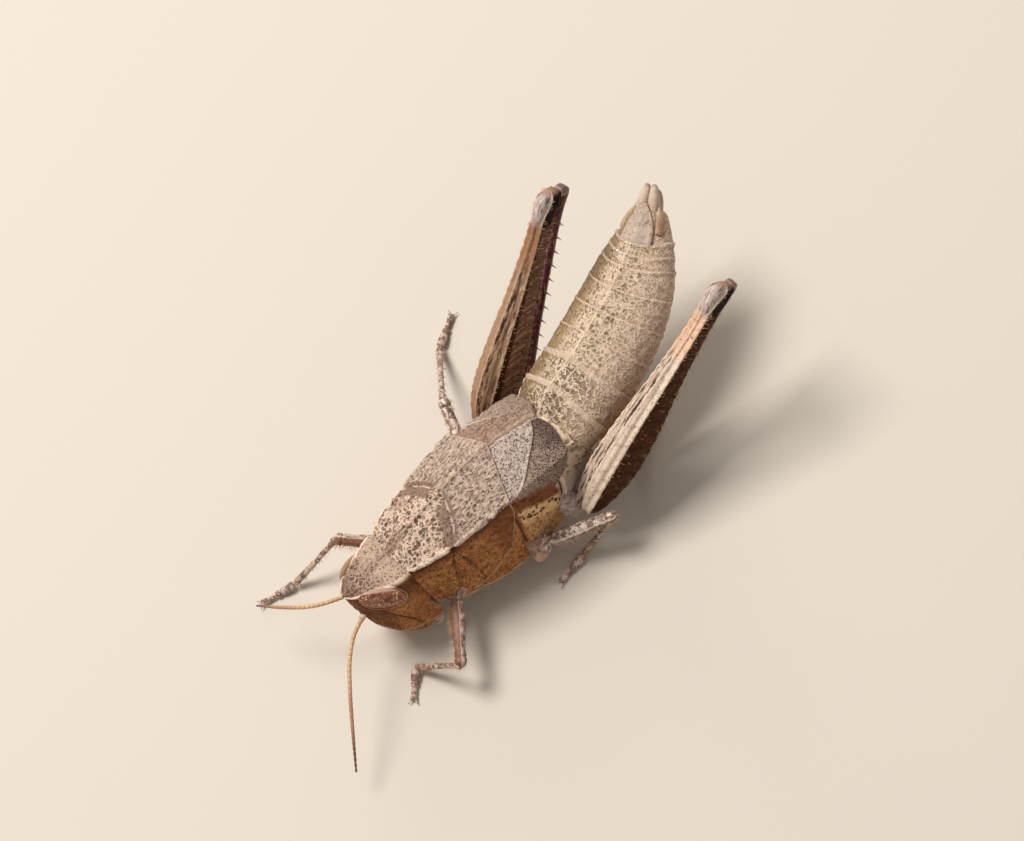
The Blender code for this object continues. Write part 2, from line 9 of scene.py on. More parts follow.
import bmesh
import bpy
import numpy as np
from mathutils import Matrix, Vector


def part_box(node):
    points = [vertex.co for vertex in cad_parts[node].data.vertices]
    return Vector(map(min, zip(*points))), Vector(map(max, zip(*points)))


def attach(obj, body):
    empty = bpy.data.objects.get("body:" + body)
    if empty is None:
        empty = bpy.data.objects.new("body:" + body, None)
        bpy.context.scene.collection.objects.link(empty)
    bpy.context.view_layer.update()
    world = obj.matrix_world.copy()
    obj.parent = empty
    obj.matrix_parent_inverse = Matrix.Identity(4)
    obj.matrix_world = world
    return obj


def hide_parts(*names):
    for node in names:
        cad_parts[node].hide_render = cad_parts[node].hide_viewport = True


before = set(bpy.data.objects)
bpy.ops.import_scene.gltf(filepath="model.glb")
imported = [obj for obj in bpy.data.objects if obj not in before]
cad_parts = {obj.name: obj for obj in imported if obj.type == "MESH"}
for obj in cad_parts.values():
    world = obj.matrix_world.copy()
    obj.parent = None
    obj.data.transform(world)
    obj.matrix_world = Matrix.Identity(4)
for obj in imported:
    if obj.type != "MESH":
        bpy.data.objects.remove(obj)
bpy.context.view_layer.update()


# ---- Pronotum -------------------------------------------------------------------------------------------------
# The saddle of hard cuticle over the front of the thorax: a low roof with a pitted skin, edged by two pale, scalloped
# side carinae, and a brown lobe hanging down each flank. It is one moulted plate, hinged by skin to the head in front.

LEAN = math.radians(10.0)
BACK_HEIGHT = 8.4
EYE_CENTRE = (1.72, -14.2, -2.15)


def leaning(points):
    """The animal's own millimetres as the leaning animal's, above the floor but not yet centred over the origin."""
    x, y, z = np.moveaxis(np.asarray(points, float), -1, 0)
    across = math.cos(LEAN) * x - math.sin(LEAN) * z
    return np.stack([across, y, math.sin(LEAN) * x + math.cos(LEAN) * z + BACK_HEIGHT], axis=-1)


SHIFT = np.mean(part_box("eye_left"), axis=0) * 1000.0 - leaning(EYE_CENTRE)


def stand(points):
    """The animal's own millimetres as metres on the floor."""
    return (leaning(points) + SHIFT) * 0.001


def on_floor(x, y, z):
    """A place given above the floor, put into the animal's own frame."""
    up = z - BACK_HEIGHT
    return np.array([math.cos(LEAN) * x + math.sin(LEAN) * up, y, math.cos(LEAN) * up - math.sin(LEAN) * x])


def curve(stations, at):
    """Read the smooth curve through (place, value) pairs at many places."""
    places = np.array([station[0] for station in stations], float)
    values = np.array([station[1] for station in stations], float)
    at = np.asarray(at, float)
    steps = np.diff(places)
    rises = np.diff(values, axis=0)
    wide = steps if values.ndim == 1 else steps[:, None]
    spans = (places[2:] - places[:-2]) if values.ndim == 1 else (places[2:] - places[:-2])[:, None]
    slopes = np.concatenate([rises[:1] / wide[:1], (values[2:] - values[:-2]) / spans, rises[-1:] / wide[-1:]])
    index = np.clip(np.searchsorted(places, at, side="right") - 1, 0, len(steps) - 1)
    share = np.clip((at - places[index]) / steps[index], 0.0, 1.0)
    span = steps[index]
    if values.ndim > 1:
        share, span = share[..., None], span[..., None]
    rise, into, out = rises[index], slopes[index] * span, slopes[index + 1] * span
    square, cube = 3 * rise - 2 * into - out, into + out - 2 * rise
    return values[index] + into * share + square * share ** 2 + cube * share ** 3


def hump(distance, width):
    """A smooth bump of height 1 at distance 0, that many millimetres wide on each side."""
    return np.exp(-(np.asarray(distance) / width) ** 2)


def ramp(value, start, end):
    """A smooth step from 0 at start to 1 at end."""
    share = np.clip((value - start) / (end - start), 0.0, 1.0)
    return share * share * (3 - 2 * share)


def unit(vectors):
    """A direction, or each of a row of directions, made one long."""
    vectors = np.asarray(vectors, float)
    return vectors / np.linalg.norm(vectors, axis=-1, keepdims=True)


def waves(points, length, seed):
    """Gentle unevenness between -1 and 1 with that wavelength, for outlines and relief that never repeat."""
    chance = np.random.default_rng(seed)
    total = 0.0
    for turn in chance.normal(size=(7, 3)):
        turn = unit(turn) * chance.uniform(0.7, 1.5)
        total = total + np.sin(points @ turn * (2 * math.pi / length) + chance.uniform(0, 6.3))
    return total / 3.0


def read(mesh, label, size=1):
    """A plate's marks, or its points or normals, as an array."""
    values = np.empty(len(mesh.vertices) * size)
    if label == "points":
        mesh.vertices.foreach_get("co", values)
    elif label == "normals":
        mesh.vertex_normals.foreach_get("vector", values)
    else:
        mesh.attributes[label].data.foreach_get("value", values)
    return values.reshape(-1, size) if size > 1 else values


def shell(name, across, along, form, cut=None):
    """A plate of cuticle: a fine grid whose points, lift along the surface's normal and marks come from a formula.

    cut is a place and a direction: what lies beyond it that way is cut off, and the cut closed.
    """
    builder = bmesh.new()
    bmesh.ops.create_grid(builder, x_segments=across, y_segments=along, size=0.5)
    mesh = bpy.data.meshes.new(name)
    builder.to_mesh(mesh)
    shares = read(mesh, "points", 3) + 0.5
    points, lift, marks = form(shares[:, 0], shares[:, 1])
    mesh.vertices.foreach_set("co", stand(points).ravel())
    for label, values in dict(marks, lift=lift, unwrap_u=shares[:, 0], unwrap_v=shares[:, 1]).items():
        layer = mesh.attributes.new(label, "FLOAT", "POINT")
        layer.data.foreach_set("value", np.broadcast_to(values, shares[:, 0].shape).astype(np.float32))
    builder.clear()
    builder.from_mesh(mesh)
    bmesh.ops.remove_doubles(builder, verts=builder.verts, dist=1e-7)
    bmesh.ops.dissolve_degenerate(builder, edges=builder.edges, dist=1e-8)
    bmesh.ops.recalc_face_normals(builder, faces=builder.faces)
    builder.to_mesh(mesh)
    builder.free()
    places, normals, lifts = read(mesh, "points", 3), read(mesh, "normals", 3), read(mesh, "lift")
    if np.sum(normals * (places - places.mean(axis=0))) < 0:
        mesh.flip_normals()
        normals = -normals
    mesh.vertices.foreach_set("co", (places + normals * lifts[:, None] * 0.001).ravel())
    mesh.attributes.remove(mesh.attributes["lift"])
    mesh.shade_smooth()
    if cut:
        builder = bmesh.new()
        builder.from_mesh(mesh)
        bmesh.ops.bisect_plane(builder, geom=[*builder.verts, *builder.edges, *builder.faces], dist=1e-7,
                               plane_co=stand(cut[0]), plane_no=leaning(cut[1]) - leaning((0, 0, 0)), clear_outer=True)
        bmesh.ops.holes_fill(builder, edges=[edge for edge in builder.edges if edge.is_boundary], sides=0)
        builder.to_mesh(mesh)
        builder.free()
    return mesh


def place(name, mesh, finish, slot, *nodes):
    """Set a finished mesh on the animal, in place of its CAD nodes."""
    piece = bpy.data.objects.new(name, mesh)
    bpy.context.scene.collection.objects.link(piece)
    mesh.materials.append(finish)
    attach(piece, "root")
    if nodes:
        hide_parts(*nodes)


def put(name, across, along, form, finish, slot, *nodes, cut=None):
    """Make a plate from its formula and set it on the animal."""
    place(name, shell(name, across, along, form, cut), finish, slot, *nodes)


def add(tree, kind, inputs=None, **settings):
    """Add a shader node, with its inputs joined or set."""
    made = tree.nodes.new("ShaderNode" + kind)
    for label, value in settings.items():
        setattr(made, label, value)
    for label, value in (inputs or {}).items():
        if isinstance(value, bpy.types.NodeSocket):
            tree.links.new(value, made.inputs[label])
        else:
            made.inputs[label].default_value = value
    return made


def sums(tree, operation, *values):
    """One step of arithmetic between sockets or numbers."""
    return add(tree, "Math", dict(enumerate(values)), operation=operation).outputs[0]


def step_mask(tree, value, start, end):
    """A smooth mask from 0 where the value is start to 1 where it is end."""
    return add(tree, "MapRange", {"Value": value, "From Min": start, "From Max": end},
               interpolation_type="SMOOTHSTEP").outputs[0]


MM_PER_METRE = (1000.0, 1000.0, 1000.0)


def effect(name, inputs, outputs, build):
    """Make one shared effect, a shader node group with named inputs and outputs."""
    tree = bpy.data.node_groups.new(name, "ShaderNodeTree")
    tree.interface.new_socket("Spot", in_out="INPUT", socket_type="NodeSocketVector")
    for label, default in inputs.items():
        tree.interface.new_socket(label, in_out="INPUT", socket_type="NodeSocketFloat").default_value = default
    for label in outputs:
        tree.interface.new_socket(label, in_out="OUTPUT", socket_type="NodeSocketFloat")
    source = tree.nodes.new("NodeGroupInput").outputs
    end = tree.nodes.new("NodeGroupOutput").inputs
    spot = add(tree, "VectorMath", {0: source["Spot"], 1: MM_PER_METRE}, operation="MULTIPLY").outputs[0]
    for label, value in build(tree, spot, source).items():
        tree.links.new(value, end[label])


def build_blotches(tree, spot, source):
    """Soft-edged patches of a noise field."""
    noise = add(tree, "TexNoise", {"Vector": spot, "Scale": source["Scale"], "Detail": 3.0, "Roughness": 0.55,
                                   "Distortion": source["Twist"]}).outputs["Fac"]
    high = sums(tree, "ADD", source["Level"], source["Softness"])
    return {"Mask": step_mask(tree, noise, source["Level"], high)}


def build_pits(tree, spot, source):
    """Round dots of mixed sizes, one to a cell, in a share of the cells."""
    cells = add(tree, "TexVoronoi", {"Vector": spot, "Scale": source["Scale"], "Randomness": 0.85})
    chance = add(tree, "SeparateColor", {"Color": cells.outputs["Color"]}).outputs
    size = sums(tree, "MULTIPLY", source["Size"], sums(tree, "ADD", 0.55, sums(tree, "MULTIPLY", chance[0], 0.75)))
    soft = sums(tree, "MULTIPLY", size, 0.55)
    dot = step_mask(tree, cells.outputs["Distance"], size, soft)
    kept = sums(tree, "LESS_THAN", chance[1], source["Share"])
    return {"Mask": sums(tree, "MULTIPLY", dot, kept)}


def build_network(tree, spot, source):
    """The lines between irregular cells, and a chance number for each cell."""
    wobble = add(tree, "TexNoise", {"Vector": spot, "Scale": sums(tree, "MULTIPLY", source["Scale"], 1.3),
                                    "Detail": 2.0}).outputs["Color"]
    shift = add(tree, "VectorMath", {0: wobble, 1: (0.5, 0.5, 0.5)}, operation="SUBTRACT").outputs[0]
    reach = add(tree, "VectorMath", {0: shift, 3: sums(tree, "DIVIDE", source["Wobble"], source["Scale"])},
                operation="SCALE").outputs[0]
    bent = add(tree, "VectorMath", {0: spot, 1: reach}, operation="ADD").outputs[0]
    edges = add(tree, "TexVoronoi", {"Vector": bent, "Scale": source["Scale"]}, feature="DISTANCE_TO_EDGE")
    cells = add(tree, "TexVoronoi", {"Vector": bent, "Scale": source["Scale"]})
    chance = add(tree, "SeparateColor", {"Color": cells.outputs["Color"]}).outputs[0]
    thin = sums(tree, "MULTIPLY", source["Width"], 0.4)
    return {"Mask": step_mask(tree, edges.outputs["Distance"], source["Width"], thin), "Cell": chance}


def build_band(tree, spot, source):
    """A band on each side of the line where a measured distance is nought, with a wandering edge."""
    noise = add(tree, "TexNoise", {"Vector": spot, "Scale": source["Grain"], "Detail": 2.0}).outputs["Fac"]
    stray = sums(tree, "MULTIPLY", sums(tree, "SUBTRACT", noise, 0.5), source["Wander"])
    far = sums(tree, "ADD", sums(tree, "ABSOLUTE", source["Distance"]), stray)
    inner = sums(tree, "SUBTRACT", source["Width"], source["Softness"])
    return {"Mask": step_mask(tree, far, source["Width"], inner)}


effect("blotches", {"Scale": 2.0, "Level": 0.5, "Softness": 0.1, "Twist": 0.0}, ["Mask"], build_blotches)
effect("pits", {"Scale": 3.0, "Size": 0.3, "Share": 0.8}, ["Mask"], build_pits)
effect("network", {"Scale": 3.0, "Width": 0.1, "Wobble": 0.6}, ["Mask", "Cell"], build_network)
effect("band", {"Distance": 0.0, "Width": 0.1, "Softness": 0.05, "Wander": 0.1, "Grain": 3.0}, ["Mask"], build_band)


class Cuticle:
    """A cuticle's finish: a base colour, colours laid over it by masks, and the relief they make."""

    def __init__(self, name, base, roughness=0.6, specular=0.12):
        self.material = bpy.data.materials.new(name)
        self.material.use_nodes = True
        self.tree = self.material.node_tree
        self.shader = self.tree.nodes["Principled BSDF"]
        self.shader.inputs["Roughness"].default_value = roughness
        self.shader.inputs["Specular IOR Level"].default_value = specular
        self.spot = add(self.tree, "TexCoord").outputs["Object"]
        self.colour = (*base, 1.0)
        self.height = 0.0

    def drawn(self, across, along, share):
        """Places measured by two marks, with the pattern drawn out along the second to 1 / share of its length."""
        flat = add(self.tree, "CombineXYZ", {0: self.mark(across),
                                             1: sums(self.tree, "MULTIPLY", self.mark(along), share)})
        return add(self.tree, "VectorMath", {0: flat.outputs[0], 3: 0.001}, operation="SCALE").outputs[0]

    def effect(self, name, values, spot=None, output="Mask"):
        """The mask of a shared effect, laid out in space or by the places given."""
        inputs = dict(values, Spot=spot or self.spot)
        return add(self.tree, "Group", inputs, node_tree=bpy.data.node_groups[name]).outputs[output]

    def blotches(self, scale, level, softness, twist=0.0, spot=None):
        """Soft-edged patches."""
        return self.effect("blotches", {"Scale": scale, "Level": level, "Softness": softness, "Twist": twist}, spot)

    def pits(self, scale, size, share, spot=None):
        """Round dots in a share of the cells."""
        return self.effect("pits", {"Scale": scale, "Size": size, "Share": share}, spot)

    def network(self, scale, width, wobble, spot=None, output="Mask"):
        """The lines between irregular cells."""
        return self.effect("network", {"Scale": scale, "Width": width, "Wobble": wobble}, spot, output)

    def band(self, label, width, softness=0.05, wander=0.1, grain=3.0, at=0.0):
        """A band on each side of the line where a mark is at a value."""
        distance = sums(self.tree, "SUBTRACT", self.mark(label), at) if at else self.mark(label)
        return self.effect("band", {"Distance": distance, "Width": width, "Softness": softness, "Wander": wander,
                                    "Grain": grain})

    def mark(self, label):
        """A distance or share stored on the plate."""
        return add(self.tree, "Attribute", attribute_name=label).outputs["Fac"]

    def both(self, *masks):
        """Where every mask is."""
        made = masks[0]
        for mask in masks[1:]:
            made = sums(self.tree, "MULTIPLY", made, mask)
        return made

    def off(self, mask):
        """Where the mask is not."""
        return sums(self.tree, "SUBTRACT", 1.0, mask)

    def from_to(self, measure, start, end):
        """A mask that rises from 0 to 1 as a mark or a measure goes from start to end."""
        value = self.mark(measure) if isinstance(measure, str) else measure
        return step_mask(self.tree, value, start, end)

    def lay(self, mask, colour, strength=1.0):
        """Lay a colour over the rest where the mask is."""
        if strength != 1.0:
            mask = sums(self.tree, "MULTIPLY", mask, strength)
        made = add(self.tree, "Mix", {0: mask, 6: self.colour, 7: (*colour, 1.0)}, data_type="RGBA")
        self.colour = made.outputs[2]

    def over(self, ground, *rows):
        """Lay a row of masks, colours and strengths over the rest, each only where the ground is."""
        for mask, colour, strength in rows:
            self.lay(self.both(ground, mask), colour, strength)

    def lift(self, mask, height):
        """Raise the surface where the mask is, by so many millimetres."""
        self.height = sums(self.tree, "ADD", self.height, sums(self.tree, "MULTIPLY", mask, height))

    def grain(self, scale, amount, depth=0.0):
        """Fine unevenness of tone, and of the surface."""
        noise = add(self.tree, "TexNoise", {
            "Vector": add(self.tree, "VectorMath", {0: self.spot, 1: MM_PER_METRE}, operation="MULTIPLY").outputs[0],
            "Scale": scale, "Detail": 3.0, "Roughness": 0.6}).outputs["Fac"]
        tone = add(self.tree, "MapRange", {"Value": noise, "From Min": 0.3, "From Max": 0.7,
                                           "To Min": 1 - amount, "To Max": 1 + amount}).outputs[0]
        self.colour = add(self.tree, "VectorMath", {0: self.colour, 3: tone}, operation="SCALE").outputs[0]
        if depth:
            self.lift(noise, depth)

    def done(self):
        """Join the colour and relief to the shader."""
        self.tree.links.new(self.colour, self.shader.inputs["Base Color"])
        if not isinstance(self.height, float):
            bump = add(self.tree, "Bump", {"Height": self.height, "Distance": 0.001, "Strength": 1.0})
            self.tree.links.new(bump.outputs[0], self.shader.inputs["Normal"])
        return self.material


KEEL_HEIGHT = ((-12.4, -1.2), (-10.0, -0.5), (-7.7, 0.02), (-5.5, 0.55), (-3.5, 0.8), (-1.5, 0.45), (0.5, -0.05))
RIDGE_WIDTH = ((-12.4, 1.85), (-11.0, 2.3), (-9.0, 2.8), (-6.5, 3.1), (-4.5, 3.2), (0.5, 3.2))
RIDGE_HEIGHT = ((-12.4, -1.45), (-10.5, -1.3), (-9.0, -1.2), (-6.5, -0.9), (-4.5, -0.65), (0.5, -1.1))
FLANK_WIDTH = ((-12.4, 2.25), (-10.0, 2.75), (-7.0, 3.08), (-4.0, 3.08), (0.5, 2.85))
SILL_WIDTH = ((-12.4, 2.25), (-10.0, 2.78), (-7.0, 3.15), (-4.0, 3.08), (0.5, 2.3))
SILL_HEIGHT = ((-12.4, -5.75), (-10.0, -6.1), (-7.0, -6.6), (-3.0, -6.35), (0.5, -4.9))
BELLY_HEIGHT = ((-12.4, -6.5), (-10.0, -6.95), (-7.0, -7.35), (-3.0, -7.2), (0.5, -5.6))


def trunk(q, y, sink=0.0):
    """The thorax's left half: q runs from 0 on the keel to 1 on the carina, 2 on the sill and 3 under the belly."""
    keel = curve(KEEL_HEIGHT, y) - sink
    ridge = curve(RIDGE_WIDTH, y) - 0.8 * sink, curve(RIDGE_HEIGHT, y) - 0.4 * sink
    flank = curve(FLANK_WIDTH, y) - 0.5 * sink, curve(RIDGE_HEIGHT, y) - 2.2
    sill = curve(SILL_WIDTH, y), curve(SILL_HEIGHT, y)
    roof = np.clip(q, 0, 1)
    bulge = 0.5 * roof * (1 - roof)
    down = np.clip(q - 1, 0, 1)
    parts = (down - 0.42) * (down - 1) / 0.42, -down * (down - 1) / 0.2436, down * (down - 0.42) / 0.58
    under = np.clip(q - 2, 0, 1) * math.pi / 2
    side_x, side_z = (sum(part * line[axis] for part, line in zip(parts, (ridge, flank, sill))) for axis in (0, 1))
    x = np.where(q < 1, ridge[0] * roof, np.where(q < 2, side_x, sill[0] * np.cos(under) ** 0.7))
    z = np.where(q < 1, keel + (ridge[1] - keel) * roof + bulge, np.where(
        q < 2, side_z, sill[1] + (curve(BELLY_HEIGHT, y) - sill[1]) * np.sin(under)))
    return x, z


PRONOTUM_FRONT = ((0.0, -12.35), (0.6, -12.25), (1.0, -12.1), (1.5, -11.85), (2.0, -11.5))
PRONOTUM_REAR = ((0.0, -3.5), (0.5, -4.1), (1.0, -4.72), (1.35, -4.95), (1.75, -6.2), (2.0, -7.2))
LOBE_FOOT = ((0.0, 1.84), (0.3, 1.98), (0.6, 1.97), (0.8, 1.85), (1.0, 1.72))
MAIN_SULCUS = ((0.0, -7.5), (0.3, -7.75), (0.6, -8.15), (0.8, -8.5), (1.0, -9.0), (1.3, -9.6), (1.9, -10.1))
FRONT_SULCUS = ((0.0, -8.3), (0.3, -8.5), (0.6, -8.95), (0.9, -9.35), (1.2, -9.0), (1.6, -8.6), (1.9, -8.5))
PRONOTUM_RIM = 0.012          # share of the plate that turns in at each margin
PRONOTUM_ROOF = 0.46          # share of each half, from the keel, that is roof; the rest hangs down as the lobe


def pronotum_form(u, v):
    """The saddle, from the right lobe's foot over the back to the left lobe's."""
    reach = np.abs(2 * u - 1)
    rim = np.minimum(np.minimum(v, 1 - v), 1 - reach) / PRONOTUM_RIM
    run = np.clip((v - PRONOTUM_RIM) / (1 - 2 * PRONOTUM_RIM), 0, 1)
    foot = curve(LOBE_FOOT, run)
    down = np.clip(reach / (1 - PRONOTUM_RIM), 0, 1)
    lobe = 1 + (down - PRONOTUM_ROOF) / (1 - PRONOTUM_ROOF) * (foot - 1)
    q = np.where(down < PRONOTUM_ROOF, down / PRONOTUM_ROOF, lobe)
    front, rear = curve(PRONOTUM_FRONT, q), curve(PRONOTUM_REAR, q)
    y = front + (rear - front) * run
    x, z = trunk(q, y)
    side = np.sign(2 * u - 1)
    points = np.stack([side * x, y, z], axis=-1)
    width = curve(RIDGE_WIDTH, y)
    ridge = np.where(q < 1, (q - 1) * width * 1.12, (q - 1) * 4.5)
    keel = q * width
    main, first = y - curve(MAIN_SULCUS, q), y - curve(FRONT_SULCUS, q)
    scallop = 0.5 + 0.5 * np.sin(y * 5.2 + 1.3 * np.sin(y * 2.1 + side)) * (0.6 + 0.4 * np.sin(y * 1.7))
    gap = 1 - 0.75 * hump(main, 0.22) - 0.5 * hump(first, 0.18)
    lift = 0.2 * (0.55 + 0.45 * scallop) * gap * hump(ridge, 0.16) * ramp(y, -12.3, -11.7)
    lift = lift + 0.1 * hump(keel, 0.1) * (1 - 0.8 * hump(main, 0.2))
    lift = lift - 0.13 * hump(main, 0.13) - 0.08 * hump(first, 0.1) * ramp(q, 0.25, 0.5)
    lift = lift + 0.03 * waves(points, 0.9, 3) + 0.015 * waves(points, 0.35, 4)
    lift = lift + 0.06 * hump((1 - run) * 8 - 0.25, 0.2) - 0.14 * ramp(run * 8, 0.9, 0.0) * ramp(q, 1.3, 1.0)
    lift = lift - 0.22 * (1 - np.clip(rim, 0, 1))
    edge = np.minimum((1 - run) * 8.0, np.where(q > 1, (foot - q) * 4.0, 9.0))
    return points, lift, {"ridge": ridge, "keel": keel, "back": y, "main": main, "first": first, "edge": edge}


def pronotum_finish():
    """Cream and tan with round dark pits on the roof, and warm brown, mottled with gold, on the lobes."""
    coat = Cuticle("pronotum_cuticle", (0.21, 0.13, 0.09), 0.6)
    coat.lay(coat.blotches(1.5, 0.42, 0.2), (0.37, 0.25, 0.18))
    net = coat.network(3.4, 0.26, 1.0)
    coat.lay(net, (0.76, 0.57, 0.44), 0.85)
    coat.lay(coat.blotches(0.8, 0.56, 0.1), (0.32, 0.215, 0.155), 0.55)
    rear = coat.from_to("main", -0.1, 0.5)
    filigree = coat.off(coat.network(7.0, 0.32, 1.2))
    coat.lay(coat.both(filigree, coat.off(rear)), (0.34, 0.235, 0.175), 0.5)
    streaky = coat.drawn("keel", "back", 0.36)
    fine = coat.network(5.4, 0.3, 1.2, spot=streaky)
    coat.over(rear, (coat.off(fine), (0.16, 0.095, 0.072), 0.85),
                    (fine, (0.56, 0.43, 0.35), 0.7),
                    (coat.blotches(4.5, 0.54, 0.08, spot=streaky), (0.13, 0.078, 0.062), 0.5),
                    (coat.blotches(1.7, 0.53, 0.1, 0.8), (0.24, 0.155, 0.12), 0.4))
    pits = coat.pits(2.6, 0.38, 0.85)
    coat.lay(coat.both(pits, coat.off(rear)), (0.125, 0.07, 0.045), 0.9)
    small = coat.pits(4.2, 0.34, 0.6)
    coat.lay(small, (0.13, 0.07, 0.045), 0.85)
    big = coat.pits(1.0, 0.3, 0.35)
    coat.lay(coat.both(big, coat.off(rear)), (0.17, 0.1, 0.065), 0.8)
    coat.lift(pits, -0.055)
    coat.lift(small, -0.03)
    coat.lift(net, 0.035)
    middle = coat.band("keel", 0.5, 0.3, wander=0.6, grain=1.6)
    coat.lay(coat.both(middle, coat.from_to("back", -10.2, -11.2)), (0.16, 0.09, 0.06), 0.6)
    zone = coat.both(coat.from_to("main", -0.85, -0.7), coat.from_to("main", 0.45, 0.25))
    roof = coat.from_to("keel", 0.4, 0.8)
    coat.lay(coat.both(zone, roof), (0.25, 0.155, 0.115), 0.85)
    zigzag = coat.band("main", 0.09, 0.06, wander=0.5, grain=2.2)
    coat.lay(coat.both(zigzag, roof, coat.from_to("keel", 2.4, 2.2)), (0.68, 0.53, 0.43), 0.85)
    lobe = coat.from_to("ridge", 0.1, 0.22)
    coat.lay(lobe, (0.31, 0.103, 0.03))
    coat.lay(coat.both(lobe, coat.blotches(1.3, 0.48, 0.1)), (0.48, 0.19, 0.066), 0.85)
    grains = coat.network(4.6, 0.3, 1.0)
    coat.over(lobe, (grains, (0.58, 0.26, 0.085), 0.55),
                    (coat.pits(4.6, 0.36, 0.6), (0.1, 0.03, 0.01), 0.6),
                    (coat.blotches(2.2, 0.55, 0.06), (0.66, 0.32, 0.13), 0.55),
                    (coat.blotches(3.2, 0.55, 0.05), (0.12, 0.036, 0.01), 0.6),
                    (coat.from_to("ridge", 1.0, 0.3), (0.145, 0.045, 0.011), 0.8),
                    (coat.blotches(0.7, 0.52, 0.12), (0.16, 0.05, 0.014), 0.5),
                    (coat.from_to("back", -7.4, -6.0), (0.17, 0.045, 0.014), 0.6))
    for label in ("main", "first"):
        coat.lay(coat.both(lobe, coat.band(label, 0.09, wander=0.2)), (0.07, 0.022, 0.008), 0.45)
    crest = coat.band("ridge", 0.14, 0.07, wander=0.36, grain=2.5)
    worn = coat.blotches(2.0, 0.5, 0.1)
    front = coat.from_to("main", 1.2, -0.6)
    coat.over(crest, (front, (0.82, 0.64, 0.5), 1.0),
                     (coat.both(coat.off(front), worn), (0.66, 0.5, 0.39), 0.75))
    # A dark line just below each side carina: painted shadow under the carina's overhanging edge.
    coat.lay(coat.band("ridge", 0.12, 0.06, wander=0.2, at=0.24), (0.06, 0.018, 0.006), 0.7)
    keel = coat.band("keel", 0.08, wander=0.15)
    coat.lay(keel, (0.5, 0.36, 0.26), 0.6)
    rim = coat.band("edge", 0.11, 0.05, wander=0.14)
    coat.lay(rim, (0.68, 0.52, 0.39), 0.9)
    coat.grain(9.0, 0.24, 0.035)
    return coat.done()


put("pronotum_saddle", 230, 130, pronotum_form, pronotum_finish(), "back_cuticle", "pronotum")


# ---- Head -----------------------------------------------------------------------------------------------------
# A hard capsule with a sloping face and a flat, pitted crown that runs out into a blunt ledge over the feelers. The
# ledge and the inner rims of the eyes are edged in cream; the cheeks are warm brown, faintly mottled.

CROWN_HEIGHT = ((-15.85, -1.78), (-15.5, -1.6), (-14.5, -1.45), (-12.2, -1.25), (-11.6, -1.3))
FACE_HEIGHT = ((-15.85, -2.15), (-15.75, -3.2), (-15.5, -4.4), (-15.1, -5.5), (-14.5, -6.6), (-13.6, -7.6),
               (-12.2, -8.15), (-11.6, -8.2))
HEAD_WIDTH = ((-15.85, 0.35), (-15.6, 0.9), (-15.3, 1.25), (-14.7, 1.7), (-13.9, 1.98), (-13.0, 2.12), (-12.2, 2.12),
              (-11.6, 2.0))
HEAD_ROUND = ((0.0, 0.0), (0.12, 0.4), (0.22, 0.7), (0.42, 1.0), (0.62, 1.0), (0.82, 0.97), (0.93, 0.74), (1.0, 0.0))
HEAD_DROP = ((0.0, 0.0), (0.12, 0.012), (0.22, 0.05), (0.42, 0.28), (0.62, 0.6), (0.82, 0.9), (0.93, 0.985), (1.0, 1.0))
SHOULDER = ((-15.85, 0.0), (-14.4, 0.0), (-13.4, 0.13), (-12.8, 0.21), (-12.2, 0.24), (-11.6, 0.24))
SHOULDER_ROUND = ((0.0, 0.0), (0.12, 0.6), (0.22, 1.0), (0.32, 0.45), (0.42, 0.0), (1.0, 0.0))
MOUTH_PLACE, MOUTH_DOWN = np.array([0, -13.5, -6.7]), np.array([0, -0.349, -0.937])
EYE_HALF_AXES = np.array([0.42, 1.5, 0.88])
EYE_YAW, EYE_PITCH = math.radians(-24.0), math.radians(-36.0)
SOCKET = np.array([0.78, -15.32, -3.42])


def turned(angle, axis):
    """A turn about X or Z as a matrix."""
    c, s = math.cos(angle), math.sin(angle)
    return np.array([[1, 0, 0], [0, c, -s], [0, s, c]]) if axis == "X" else np.array([[c, -s, 0], [s, c, 0], [0, 0, 1]])


EYE_TURN = turned(EYE_YAW, "Z") @ turned(EYE_PITCH, "X")


def from_eye(points):
    """How far out of the nearer eye a point lies: 1 is on its surface."""
    mirrored = points * np.stack([np.sign(points[:, 0] + 1e-9)] + [np.ones(len(points))] * 2, axis=-1)
    local = (mirrored - np.array(EYE_CENTRE)) @ EYE_TURN / EYE_HALF_AXES
    return np.linalg.norm(local, axis=1), local


def cheek_edge(q):
    """Where the cheek ends behind: it reaches furthest back low on the side."""
    return -12.25 + 0.75 * hump(q - 0.82, 0.24)


HEAD_FRONT, HEAD_LENGTH = -15.85, 4.15
NOSE = 0.03                   # share of the grid that closes the head in front


def head_skin(u, v):
    """The head's plain surface, from the forehead back and round from chin to chin."""
    q = np.abs(2 * u - 1)
    run = np.clip((v - NOSE) / (1 - NOSE), 0, 1)
    y = HEAD_FRONT + HEAD_LENGTH * run ** 2.0
    end = cheek_edge(q)
    y = np.where(y > end, end + (y - end) * ramp(q, 0.75, 0.45), y)
    crown, mouth, width = curve(CROWN_HEIGHT, y), curve(FACE_HEIGHT, y), curve(HEAD_WIDTH, y)
    nose = np.sqrt(np.clip(v / NOSE, 0, 1))
    shoulder = curve(SHOULDER, y) * curve(SHOULDER_ROUND, q)
    x = width * (curve(HEAD_ROUND, q) + shoulder) * nose * np.sign(2 * u - 1)
    middle = 0.5 * (crown + mouth)
    z = middle + (crown + (mouth - crown) * curve(HEAD_DROP, q) - middle) * nose
    return np.stack([x, y, z], axis=-1), q


